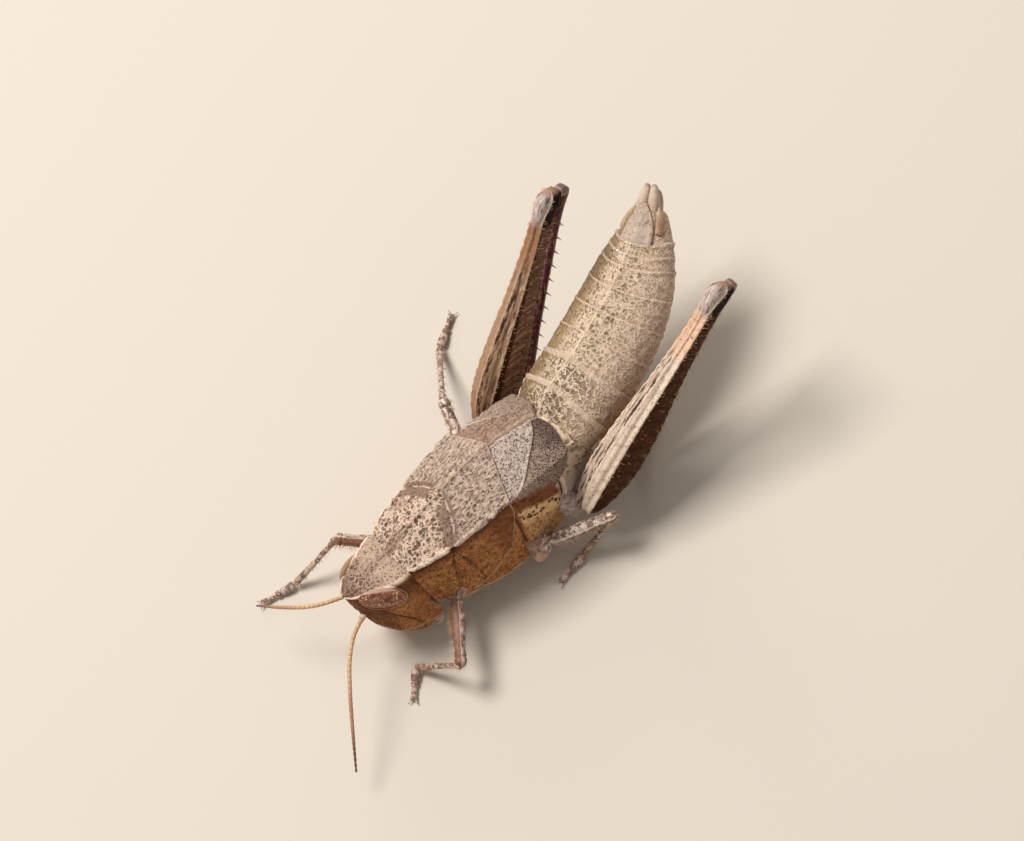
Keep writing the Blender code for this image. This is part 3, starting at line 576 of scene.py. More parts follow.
def head_form(u, v):
    """The capsule, with its ledges, feeler sockets, eye rims and the seams of its face, closed above the mouth."""
    points, q = head_skin(u, v)
    out, _ = from_eye(points)
    x, y, z = np.abs(points[:, 0]), points[:, 1], points[:, 2]
    ledge = (q - 0.22) * 5.0
    brow = ramp(y, -13.6, -14.4)
    lift = (0.06 + 0.06 * brow) * hump(ledge, 0.13) * (0.8 + 0.2 * np.sin(y * 11)) * ramp(y, -12.2, -12.7)
    lift = lift + 0.05 * hump(points[:, 0], 0.09) * ramp(y, -14.4, -13.4) * hump(q, 0.12)
    lift = lift - 0.08 * hump(ledge + 0.35, 0.22) * brow
    lift = lift + 0.09 * hump(out - 1.1, 0.08) - 0.05 * hump(out - 1.28, 0.1)
    socket = np.linalg.norm(np.stack([x, y, z], axis=-1) - SOCKET, axis=1)
    front = ramp(y, -14.3, -14.9) * ramp(q, 0.3, 0.36)
    lift = lift + 0.1 * hump(socket - 0.36, 0.09) - 0.12 * hump(socket, 0.22)
    costa = x - curve(((-7.0, 0.42), (-5.0, 0.34), (-3.4, 0.25), (-2.0, 0.2)), z)
    lift = lift + 0.1 * hump(costa, 0.09) * front - 0.06 * hump(x, 0.16) * front
    side_keel = x - curve(((-7.0, 1.25), (-5.0, 1.15), (-3.8, 0.98), (-3.0, 0.9)), z)
    lift = lift + 0.07 * hump(side_keel, 0.08) * front * ramp(z, -3.6, -4.2)
    groove = y - curve(((-7.2, -12.9), (-5.5, -13.5), (-4.4, -14.1), (-3.4, -14.6)), z)
    cheek = ramp(q, 0.42, 0.5) * ramp(z, -3.6, -4.2)
    lift = lift - 0.07 * hump(groove, 0.09) * cheek
    clypeus = z + 5.95 + 0.1 * np.cos(x * 3)
    lift = lift - 0.09 * hump(clypeus, 0.09) * ramp(y, -14.1, -14.5)
    rear = y - cheek_edge(q) - 0.05
    lift = lift + 0.1 * hump(rear + 0.1, 0.12) * ramp(q, 0.5, 0.65) - 0.35 * ramp(rear, -0.08, 0.0) * ramp(q, 0.55, 0.7)
    lift = lift - 0.1 * ramp(y, -12.5, -12.1) * ramp(q, 0.6, 0.4) + 0.018 * waves(points, 0.8, 31)
    deep = (points - MOUTH_PLACE) @ MOUTH_DOWN
    marks = {"ledge": ledge, "rim": out - 1.1, "rear": rear, "groove": groove, "socket": socket, "around": q, "back": y,
             "height": z, "costa": np.where(front > 0.5, costa, 9.0), "clypeus": np.where(y < -14.2, clypeus, 9.0),
             "mouth": deep, "across": points[:, 0]}
    return points, lift, marks


def head_finish(name, roof):
    """Brown cheeks, a grey-tan pitted crown with a dark middle band, and cream ledges and rims."""
    coat = Cuticle(name, (0.31, 0.11, 0.034))
    coat.lay(coat.blotches(1.2, 0.45, 0.2), (0.47, 0.185, 0.068), 0.8)
    coat.lay(coat.blotches(0.8, 0.52, 0.12), (0.17, 0.052, 0.015), 0.5)
    coat.lay(coat.network(4.4, 0.26, 1.0), (0.58, 0.26, 0.09), 0.5)
    coat.lay(coat.blotches(2.6, 0.56, 0.06), (0.62, 0.3, 0.11), 0.5)
    coat.lay(coat.blotches(3.4, 0.56, 0.05), (0.13, 0.04, 0.011), 0.55)
    coat.lay(coat.from_to("back", -13.9, -14.7), (0.12, 0.033, 0.005), 0.8)
    coat.lay(coat.pits(4.5, 0.34, 0.6), (0.1, 0.034, 0.011), 0.6)
    coat.lay(coat.pits(3.1, 0.16, 0.25), (0.5, 0.3, 0.15), 0.6)
    if roof:
        top = coat.from_to("ledge", 0.12, 0.0)
        coat.lay(top, (0.2, 0.115, 0.076))
        net = coat.network(4.2, 0.27, 1.0)
        coat.lay(coat.both(top, net, coat.from_to("back", -15.1, -13.7)), (0.6, 0.44, 0.325), 0.7)
        pits = coat.pits(3.6, 0.36, 0.8)
        coat.lay(coat.both(top, pits), (0.1, 0.052, 0.032), 0.9)
        coat.lift(coat.both(top, pits), -0.04)
        middle = coat.band("across", 0.36, 0.2, wander=0.5, grain=1.6)
        coat.over(top, (middle, (0.14, 0.078, 0.05), 0.7),
                       (coat.from_to("back", -13.2, -14.4), (0.13, 0.066, 0.045), 0.85))
        fine = coat.network(3.4, 0.2, 1.3)
        coat.over(top, (fine, (0.52, 0.38, 0.29), 0.66),
                       (coat.from_to("back", -14.6, -15.3), (0.16, 0.08, 0.055), 0.5))
        coat.lay(coat.both(coat.from_to("around", 0.24, 0.28), coat.from_to("around", 0.5, 0.34),
                           coat.from_to("back", -13.5, -13.0)), (0.11, 0.04, 0.014), 0.8)
        crest = coat.band("ledge", 0.15, 0.07, wander=0.25, grain=2.5)
        coat.lay(crest, (0.78, 0.6, 0.46))
        rim = coat.band("rim", 0.045, 0.03, wander=0.04)
        coat.lay(coat.both(rim, coat.from_to("around", 0.5, 0.4)), (0.6, 0.42, 0.3), 0.9)
        coat.lay(coat.band("costa", 0.1), (0.4, 0.25, 0.15), 0.7)
        coat.lay(coat.from_to("socket", 0.3, 0.22), (0.6, 0.46, 0.36), 0.8)
    seam = coat.both(coat.band("groove", 0.1), coat.from_to("around", 0.42, 0.5))
    coat.lay(seam, (0.08, 0.03, 0.014), 0.7)
    coat.lay(coat.band("clypeus", 0.08, wander=0.08), (0.08, 0.03, 0.014), 0.8)
    edge = coat.both(coat.from_to("rear", -0.2, -0.08), coat.from_to("around", 0.55, 0.7))
    coat.lay(edge, (0.6, 0.44, 0.33), 0.8)
    coat.lay(coat.from_to("mouth", -0.25, -0.1), (0.5, 0.36, 0.26), 0.6)
    coat.grain(9.0, 0.2, 0.025)
    return coat.done()


put("head_capsule", 240, 150, head_form, head_finish("head_cuticle", True), "flank_cuticle", "head",
    cut=(MOUTH_PLACE, MOUTH_DOWN))


def mouth_form(u, v):
    """The lip in front, a jaw at each side and the lower lip behind, below the capsule."""
    points, q = head_skin(u, v)
    x, y = np.abs(points[:, 0]), points[:, 1]
    lip = x - curve(((-15.0, 0.75), (-14.3, 0.85), (-13.9, 0.6), (-13.4, 0.3)), y)
    lift = -0.16 * hump(lip, 0.08) * ramp(y, -13.5, -13.8) - 0.14 * hump(y + 13.1 - 0.25 * x, 0.12)
    lift = lift - 0.12 * hump(x, 0.08) * ramp(y, -13.2, -12.9)
    lift = lift + 0.02 * waves(points, 0.6, 33) - 0.06
    return points, lift, {"rear": y + 12.3, "groove": lip, "around": q, "clypeus": y + 13.1, "mouth": -9.0}


put("lips_and_jaws", 200, 120, mouth_form, head_finish("mouth_cuticle", False), "flank_cuticle", "mouthparts",
    cut=(MOUTH_PLACE - 0.12 * MOUTH_DOWN, -MOUTH_DOWN))


def neck_form(u, v):
    """A short sleeve of folds, closed at both ends inside its neighbours."""
    turn, y = 2 * math.pi * u, -13.1 + 3.0 * v
    close = np.sqrt(1 - np.abs(2 * v - 1) ** 8)
    points = np.stack([1.75 * np.sin(turn) * close, y, -4.55 - 0.2 * v + 2.15 * np.cos(turn) * close], axis=-1)
    return points, 0.07 * np.sin(y * 11 + 0.6 * np.sin(turn)) * close, {}


neck_coat = Cuticle("neck_membrane", (0.3, 0.16, 0.085), 0.7)
neck_coat.lay(neck_coat.blotches(1.5, 0.48, 0.15), (0.16, 0.07, 0.035), 0.7)
neck_coat.lay(neck_coat.network(4.0, 0.22, 1.0), (0.5, 0.32, 0.2), 0.5)
neck_coat.grain(7.0, 0.2, 0.02)
put("neck_membrane", 60, 50, neck_form, neck_coat.done(), "flank_cuticle")


# ---- Eyes -----------------------------------------------------------------------------------------------------
# Long oval compound eyes set in the sides of the head. Their lens is a smooth dome of thousands of tiny facets, pale
# tan along the top and dark red-brown with pale specks below.

SIDES = {"left": 1, "right": -1}
EYE_TUCK = {1: np.zeros(3), -1: np.array([-0.22, 0, -0.42])}       # the far eye is set deeper


def eye_form(side):
    """One eye, turned to lie along the side of the head."""
    def form(u, v):
        turn, lean = 2 * math.pi * u, math.pi * v
        unit = np.stack([np.cos(turn) * np.sin(lean), -np.cos(lean), np.sin(turn) * np.sin(lean)], axis=-1)
        swell = 1.0 + 0.04 * unit[:, 0]
        points = (unit * EYE_HALF_AXES * swell[:, None]) @ EYE_TURN.T + np.array(EYE_CENTRE) + EYE_TUCK[side]
        return points * np.array([side, 1, 1]), 0.0, {"up": unit[:, 2], "out": unit[:, 0], "far": unit[:, 1]}
    return form


def eye_finish(name, brow_start, brow_colour):
    """Pale above, dark red-brown and finely speckled below, glossy, with minute facets."""
    coat = Cuticle(name, (0.33, 0.115, 0.055), 0.4, 0.18)
    coat.shader.inputs["Coat Weight"].default_value = 0.06
    coat.shader.inputs["Coat Roughness"].default_value = 0.18
    coat.lay(coat.blotches(1.6, 0.45, 0.2), (0.44, 0.17, 0.085), 0.8)
    coat.lay(coat.blotches(2.6, 0.5, 0.1), (0.09, 0.026, 0.014), 0.65)
    coat.lay(coat.from_to("up", 0.0, -0.55), (0.29, 0.1, 0.03), 0.95)
    coat.lay(coat.both(coat.pits(5.5, 0.46, 0.95), coat.from_to("up", -0.7, -0.1)), (0.84, 0.56, 0.41), 0.9)
    coat.lay(coat.pits(5.5, 0.34, 0.45), (0.05, 0.015, 0.012), 0.7)
    inward = sums(coat.tree, "MULTIPLY", coat.mark("out"), -0.6)
    brow = sums(coat.tree, "ADD", sums(coat.tree, "MULTIPLY", coat.mark("up"), 0.8), inward)
    brow = sums(coat.tree, "SUBTRACT", brow, sums(coat.tree, "MULTIPLY", coat.mark("far"), 0.3))
    top = coat.from_to(brow, brow_start, brow_start + 0.18)
    coat.lay(top, brow_colour)
    coat.lay(coat.both(top, coat.pits(5.0, 0.36, 0.6)), (0.2, 0.1, 0.065), 0.8)
    coat.lift(coat.network(22.0, 0.3, 0.0), -0.006)
    coat.grain(12.0, 0.12)
    return coat.done()


eye_coats = {"left": eye_finish("left_eye_facets", 0.5, (0.5, 0.34, 0.26)),
             "right": eye_finish("right_eye_facets", -0.9, (0.36, 0.22, 0.12))}
for name, side in SIDES.items():
    put(f"eye_dome_{name}", 72, 60, eye_form(side), eye_coats[name], "eye_lens", f"eye_{name}")


# ---- Abdomen's centre line and the thorax rings -----------------------------------------------------------------
# The two joined rings that carry the wings and the four hind limbs. Under the wing pads they are a box of flank
# plates, each edged by a dark seam where the cuticle folds in, closed below by the breastplate.

ABDOMEN_START = (0.0, -2.5, -2.85)
ABDOMEN_YAW = ((0.0, 5.0), (4.0, 10.0), (8.5, 15.5), (11.0, 18.5), (14.0, 22.5), (15.2, 24.0), (16.4, 32.0),
               (19.0, 33.0))
ABDOMEN_PITCH = ((0.0, 2.0), (4.0, 7.0), (8.5, 15.0), (11.0, 21.0), (14.0, 30.0), (19.0, 32.0))


def abdomen_line():
    """The abdomen's bent centre line, as places and axes every 0.05 mm."""
    at = np.arange(0, 21.0, 0.05)
    yaw, pitch = (np.radians(curve(angles, at)) for angles in (ABDOMEN_YAW, ABDOMEN_PITCH))
    ahead = np.stack([-np.sin(yaw) * np.cos(pitch), np.cos(yaw) * np.cos(pitch), np.sin(pitch)], axis=-1)
    centre = np.array(ABDOMEN_START) + np.concatenate([np.zeros((1, 3)), np.cumsum(ahead[:-1] * 0.05, axis=0)])
    left = unit(np.stack([ahead[:, 1], -ahead[:, 0], np.zeros(len(at))], axis=-1))
    return at, centre, ahead, left, np.cross(left, ahead)


ABDOMEN_LINE = abdomen_line()


def abdomen_axes(distance):
    """Centre, ahead, left and up of the abdomen at distances along its centre line."""
    at = ABDOMEN_LINE[0]
    return [np.stack([np.interp(distance, at, line[:, axis]) for axis in range(3)], axis=-1)
            for line in ABDOMEN_LINE[1:]]


PLEURAL_SEAMS = (((1.0, -5.2), (1.5, -5.0), (2.0, -5.3)), ((1.0, -3.9), (1.45, -3.5), (1.75, -3.5), (2.0, -3.9)),
                 ((1.0, -2.4), (1.5, -1.5), (2.0, -2.2)))
THORAX_FRONT, THORAX_SINK = -10.6, 0.75
THORAX_REAR = 2.95            # along the abdomen's centre line
THORAX_TUCK = 0.94            # share of the grid before its hind margin turns in


def thorax_form(u, v):
    """Round the thorax from the belly's midline up the right flank, over the roof and down the left one."""
    q = 3 * np.abs(2 * u - 1)
    side = np.sign(2 * u - 1)
    x, z = trunk(q, np.full_like(q, -1.0), THORAX_SINK)
    centre, ahead = (line[0] for line in abdomen_axes(np.array([THORAX_REAR]))[:2])
    rear = centre[1] - (ahead[0] * (side * x - centre[0]) + ahead[2] * (z - centre[2])) / ahead[1]
    run = np.clip(v / THORAX_TUCK, 0, 1)
    y = THORAX_FRONT + (rear - THORAX_FRONT) * run
    x, z = trunk(q, y, THORAX_SINK)
    tuck = np.clip((v - THORAX_TUCK) / (1 - THORAX_TUCK), 0, 1)
    x, z = x * (1 - 0.3 * tuck), z + (-2.9 - z) * 0.3 * tuck
    y = y + 0.12 * np.sin(tuck * math.pi)
    points = np.stack([side * x, y, z], axis=-1)
    seams = [y - curve(seam, q) for seam in PLEURAL_SEAMS]
    flank = ramp(q, 1.0, 1.1) * ramp(q, 2.25, 2.1)
    lift = 0.03 * waves(points, 1.2, 5)
    for seam, deep in zip(seams, (1.0, 0.35, 1.0)):
        lift = lift - 0.14 * deep * hump(seam, 0.13) * flank + 0.08 * deep * hump(seam - 0.3, 0.14) * flank
    lift = lift + 0.12 * hump(q - 2.05, 0.05) - 0.1 * hump(q - 1.93, 0.03)
    lift = lift + 0.2 * ramp(seams[0], 0.1, 0.8) * ramp(seams[2], 0.0, -0.7) * hump(q - 1.72, 0.2)
    lift = lift - 0.32 * hump(q - 1.0, 0.16) * ramp(y, -2.8, -1.4)
    return points, lift, {"seam_a": seams[0], "seam_c": seams[2], "around": q, "back": y}


def thorax_finish():
    """Warm brown flank plates, a gold one with dark dots before the hind hip, and a dull amber belly."""
    coat = Cuticle("flank_plates", (0.34, 0.118, 0.035))
    coat.lay(coat.blotches(1.3, 0.46, 0.12), (0.5, 0.205, 0.07), 0.85)
    coat.lay(coat.blotches(0.75, 0.52, 0.12), (0.16, 0.05, 0.015), 0.5)
    coat.lay(coat.network(4.6, 0.28, 1.0), (0.58, 0.26, 0.085), 0.55)
    coat.lay(coat.pits(4.2, 0.36, 0.6), (0.1, 0.03, 0.01), 0.6)
    coat.lay(coat.blotches(2.0, 0.56, 0.06), (0.6, 0.27, 0.085), 0.5)
    coat.lay(coat.blotches(3.0, 0.55, 0.05), (0.12, 0.038, 0.012), 0.6)
    slant = sums(coat.tree, "SUBTRACT", coat.mark("around"), sums(coat.tree, "MULTIPLY", coat.mark("seam_a"), 0.075))
    gold = coat.both(coat.from_to("seam_a", 0.15, 0.35), coat.from_to("seam_c", 0.25, 0.1),
                     coat.from_to(slant, 1.38, 1.44), coat.from_to("around", 2.04, 1.96))
    coat.lay(gold, (0.84, 0.48, 0.22))
    upper = coat.both(gold, coat.from_to(slant, 1.66, 1.54))
    coat.lay(coat.both(upper, coat.blotches(1.4, 0.4, 0.2)), (1.0, 0.72, 0.42), 0.85)
    coat.over(gold, (coat.from_to(slant, 1.56, 1.7), (0.38, 0.15, 0.045), 0.88),
                    (coat.network(4.2, 0.24, 1.0), (0.9, 0.6, 0.33), 0.4))
    dots = coat.pits(3.5, 0.5, 0.95)
    coat.lay(coat.both(upper, dots), (0.1, 0.042, 0.014), 0.95)
    coat.lay(coat.both(gold, coat.off(upper), dots), (0.2, 0.08, 0.022), 0.5)
    coat.lift(coat.both(gold, dots), -0.05)
    under_pad = coat.both(coat.from_to(slant, 1.45, 1.38), coat.from_to("back", -5.0, -4.5))
    coat.lay(under_pad, (0.26, 0.085, 0.033), 0.9)
    coat.lay(coat.both(under_pad, coat.blotches(2.2, 0.5, 0.1)), (0.085, 0.032, 0.016), 0.75)
    rear = coat.both(coat.from_to("seam_c", -0.1, 0.2), coat.from_to("around", 2.2, 2.0))
    coat.lay(rear, (0.78, 0.63, 0.56))
    coat.lay(coat.both(rear, coat.blotches(1.5, 0.52, 0.15)), (0.55, 0.41, 0.35), 0.6)
    back = coat.both(coat.from_to("back", -2.0, -1.7), coat.from_to("around", 1.75, 1.55))
    coat.lay(back, (0.74, 0.57, 0.42))
    coat.lay(coat.both(back, coat.pits(2.7, 0.5, 0.95)), (0.27, 0.19, 0.11), 0.85)
    flank = coat.both(coat.from_to("around", 1.0, 1.1), coat.from_to("around", 2.3, 2.1))
    for label, strength in (("seam_a", 0.8), ("seam_c", 0.85)):
        coat.lay(coat.both(flank, coat.band(label, 0.1)), (0.06, 0.022, 0.01), strength)
    coat.lay(coat.both(coat.band("seam_c", 0.12, wander=0.12, at=0.22), coat.from_to("around", 2.0, 1.9)),
             (0.82, 0.7, 0.6), 0.9)
    sill = coat.band("around", 0.05, 0.03, wander=0.06, grain=4.0, at=2.05)
    coat.lay(sill, (0.66, 0.5, 0.38), 0.7)
    coat.lay(coat.from_to("around", 2.15, 2.35), (0.34, 0.19, 0.085), 0.8)
    coat.grain(8.0, 0.2, 0.03)
    return coat.done()


put("thorax_plates", 300, 120, thorax_form, thorax_finish(), "flank_cuticle", "pterothorax")


# ---- Wing pads ------------------------------------------------------------------------------------------------
# Two short leaves of cuticle over the waist, the undeveloped forewings. Each has a pale, finely dotted field next to
# the midline, a smooth raised vein across it, and a dark, netted outer field that wraps down over the flank.

WING_BASE = ((0.0, -4.2), (3.3, -5.6))
WING_HIND = ((0.0, -0.15), (1.2, 0.15), (3.0, -0.1), (4.4, -0.9), (5.2, -1.9))
WING_UPPER = 0.75             # share of the grid that is the upper face
VEIN_RATE = 34.0
WING_FOLD = ((0.0, -0.1), (0.133, 0.035), (0.41, 0.375), (0.674, 0.772), (0.8, 0.907), (1.0, 1.02))


def over_thorax(y, reach, sink):
    """A point that far round the lowered thorax from its midline."""
    rows = np.linspace(0, 2, 161)
    x, z = trunk(np.repeat(rows[None, :], len(y), axis=0), np.repeat(y[:, None], 161, axis=1), sink)
    steps = np.concatenate([np.zeros((len(y), 1)), np.cumsum(np.hypot(np.diff(x), np.diff(z)), axis=1)], axis=1)
    index = np.clip((steps < reach[:, None]).sum(axis=1) - 1, 0, 159)
    row = np.arange(len(y))
    share = ((reach - steps[row, index]) / (steps[row, index + 1] - steps[row, index]))[:, None]
    ends = [np.stack([x[row, index + i], y, z[row, index + i]], axis=-1) for i in (0, 1)]
    return ends[0] + (ends[1] - ends[0]) * share


def wing_form(side):
    """One leaf: the grid's first part is the upper face, the rest the lower."""
    def form(u, v):
        upper = v < WING_UPPER
        run = np.where(upper, v / WING_UPPER, (1 - v) / (1 - WING_UPPER))
        share, inside = u, np.minimum(np.minimum(u * 16, (1 - u) * 5.2), (1 - run) * 3.6)
        front, rear = curve(WING_BASE, 3.3 * share), curve(WING_HIND, 5.2 * share)
        rear = rear + 0.08 * np.sin(share * 9)
        y = front + (rear - front) * run
        reach = 0.02 + (3.25 + 1.9 * run) * share
        base = over_thorax(y, reach, 0.5)
        outward = unit(np.stack([0.25 + share * 0.75, np.zeros_like(share), 1 - share * 0.7], axis=-1))
        swollen = np.sqrt(np.clip(inside / 0.8, 0, 1)) * (0.45 + 0.55 * ramp(run, 0.1, 0.4))
        thick = 0.08 + (0.42 if side > 0 else 0.2) * swollen
        base = base + outward * np.where(upper, thick, 0.02)[:, None]
        points = base * np.array([side, 1, 1])
        fold = (share - curve(WING_FOLD, 1 - run)) * 5.0
        fan = (share - 0.06) / (0.3 + 0.7 * run) - 0.3
        vein = np.sin(fan * VEIN_RATE + 1.2 * np.sin(run * 4))
        lift = 0.06 * ramp(fold, -0.5, -0.02) * ramp(fold, 0.25, 0.02) * ramp(run, 0.9, 0.6)
        lift = lift + 0.03 * vein * ramp(fold, -0.9, 0.2) * ramp(run, 1.0, 0.7) + 0.06 * hump(share - 0.03, 0.025)
        lift = lift + 0.02 * waves(points, 0.5, 8)
        lift = np.where(upper, lift * ramp(inside, 0.02, 0.3), 0.0)
        return points, lift, {"fold": fold, "run": run, "fan": fan, "share": share, "wide": reach, "long": y}
    return form


def tinted(colour, share):
    """A colour made darker or lighter."""
    return tuple(share * value for value in colour)


def wing_finish(name, field, shade, dark_share):
    """A field with fine black dots, and outside it a dark purple-brown net that pales towards the base."""
    coat = Cuticle(name, field)
    coat.lay(coat.blotches(1.3, 0.45, 0.2), shade, 0.7)
    streaky = coat.drawn("wide", "long", 0.36)
    coat.lay(coat.network(5.6, 0.24, 1.0, spot=streaky), tinted(field, 1.3), 0.6)
    coat.lay(coat.blotches(3.2, 0.54, 0.07, spot=streaky), tinted(shade, 0.6), 0.35 + 0.3 * (1 - dark_share))
    coat.lay(coat.pits(7.6, 0.5, 0.95), (0.13, 0.088, 0.07), 0.9)
    outer = coat.from_to("fold", 0.0, 0.07)
    back = coat.from_to("run", 0.3, 0.7)
    coat.lay(outer, (0.27, 0.17, 0.135), 0.75 * dark_share)
    coat.over(outer, (back, (0.088, 0.039, 0.031), 0.9 * dark_share),
                     (coat.from_to("run", 0.7, 0.92), (0.05, 0.022, 0.018), 0.7 * dark_share))
    net = coat.network(7.0, 0.26, 1.0)
    coat.lay(coat.both(outer, net), (0.52, 0.39, 0.315), 0.66)
    dots = coat.pits(6.5, 0.4, 0.7)
    coat.lay(coat.both(outer, dots), (0.085, 0.045, 0.038), 0.7)
    corner = coat.both(outer, coat.from_to("run", 0.6, 0.9), coat.from_to("share", 0.5, 0.36))
    coat.lay(corner, (0.06, 0.03, 0.025), 0.6 * dark_share)
    low = coat.both(outer, coat.from_to("share", 0.86, 0.97))
    coat.lay(coat.both(low, coat.blotches(2.0, 0.35, 0.2)), (0.23, 0.08, 0.035), 0.85)
    ripple = sums(coat.tree, "SINE", sums(coat.tree, "MULTIPLY", coat.mark("fan"), VEIN_RATE))
    veins = coat.both(coat.from_to(ripple, 0.75, 0.97), coat.from_to("run", 0.62, 0.2))
    coat.lay(coat.both(veins, coat.from_to("fold", -0.8, 0.1)), (0.66, 0.53, 0.45), 0.75)
    crease = coat.both(coat.band("fold", 0.16, 0.1, wander=0.15, at=-0.14), coat.from_to("run", 0.75, 0.3))
    coat.lay(crease, (0.68, 0.55, 0.47), 0.8)
    coat.lay(coat.both(coat.band("fold", 0.1, 0.07, wander=0.08, at=0.08), coat.from_to("run", 0.2, 0.5)),
             (0.06, 0.028, 0.022), 0.85 * dark_share)
    coat.lay(coat.from_to("share", 0.05, 0.02), (0.6, 0.46, 0.36), 0.8)
    coat.lift(coat.both(outer, net), 0.03)
    coat.lift(coat.both(coat.off(outer), coat.pits(7.6, 0.45, 0.9)), -0.025)
    coat.grain(9.0, 0.2, 0.02)
    return coat.done()


for name, side, field, shade, dark_share in (("left", 1, (0.48, 0.385, 0.335), (0.37, 0.28, 0.235), 1.0),
                                             ("right", -1, (0.33, 0.215, 0.155), (0.24, 0.148, 0.105), 0.12)):
    put(f"wing_leaf_{name}", 110, 130, wing_form(side),
        wing_finish(f"wing_pad_cuticle_{name}", field, shade, dark_share), "wing_pad_cuticle", f"wing_pad_{name}")


# ---- Abdomen --------------------------------------------------------------------------------------------------
# Eight overlapping rings of thin, leathery cuticle with a low keel along the back, each a little wider at its hind
# margin, which laps over the next. Pale lines net their olive-brown spots.

ABDOMEN_WIDTH = ((1.8, 2.65), (2.9, 2.85), (3.6, 3.05), (4.5, 3.18), (6.5, 3.22), (9.0, 3.2), (12.0, 2.95), (14.0, 2.5),
                 (15.9, 1.83), (16.9, 1.45), (17.9, 0.9), (18.4, 0.5))
ABDOMEN_DEPTH = ((1.8, 1.7), (2.9, 1.85), (3.6, 2.25), (4.5, 2.6), (6.5, 2.65), (8.5, 2.55), (10.5, 2.4), (12.0, 2.2),
                 (14.0, 1.9), (15.9, 1.42), (16.9, 1.15), (17.9, 0.78), (18.4, 0.45))
TERGITE_ENDS = (3.0, 4.6, 6.8, 8.8, 10.7, 12.5, 14.1, 14.9, 15.6, 17.6)


def abdomen_skin(distance, angle, shrink=0.0):
    """A point of the abdomen: angle is 0 on the keel and grows down the left side, in radians."""
    centre, _, left, up = abdomen_axes(distance)
    width, depth = curve(ABDOMEN_WIDTH, distance) - shrink, curve(ABDOMEN_DEPTH, distance) - shrink
    x, z = width * np.sin(angle), depth * np.cos(angle)
    z = np.where(z > 0, z + 0.12 * depth * np.clip(1 - np.abs(x) / (0.35 * width), 0, 1), 0.86 * z)
    return centre + left * x[:, None] + up * z[:, None]


RING_LAP = 0.45               # how far a ring reaches under the one in front
RING_TUCK = 0.96              # share of the grid before its hind margin turns in


def tergite_form(number):
    """One ring of the abdomen, tucked under the one in front."""
    start, end = TERGITE_ENDS[number - 1], TERGITE_ENDS[number]
    swell = max(0.0, 1 - (number - 1) / 3.0)
    sweep = min(1.0, max(0.0, (number - 3) / 3.0))

    def form(u, v):
        angle = (2 * u - 1) * math.pi
        flat = np.abs(angle)
        hind = end + 0.3 * swell * hump(angle, 0.5) + 0.35 * sweep * ramp(flat, 0.3, 1.4) - 0.1 * sweep
        fore = start - RING_LAP
        run = np.clip(v / RING_TUCK, 0, 1)
        distance = fore + (hind - fore) * run
        tuck = np.clip((v - RING_TUCK) / (1 - RING_TUCK), 0, 1)
        shrink = 0.14 * (1 - ramp(run * (hind - fore), 0.15, 0.75)) - 0.03 * ramp(run, 0.6, 1) + 0.14 * tuck
        points = abdomen_skin(distance, angle, shrink)
        rear = hind - distance
        lift = 0.035 * hump(angle, 0.05) - 0.12 * hump(flat - 2.05, 0.1) + 0.02 * waves(points, 0.8, number)
        lift = lift + 0.03 * hump(rear - 0.12, 0.1) - 0.03 * hump(rear - 0.34, 0.12)
        lift = lift + 0.03 * hump(rear - 0.95, 0.1) * ramp(flat, 0.2, 0.6)
        girth = curve(ABDOMEN_WIDTH, distance)
        spiracle = np.hypot(distance - start - 0.35, (flat - 1.78) * girth * 0.8)
        return points, lift, {"rear": rear, "keel": angle * girth, "flank": flat, "spiracle": spiracle, "left": angle}
    return form


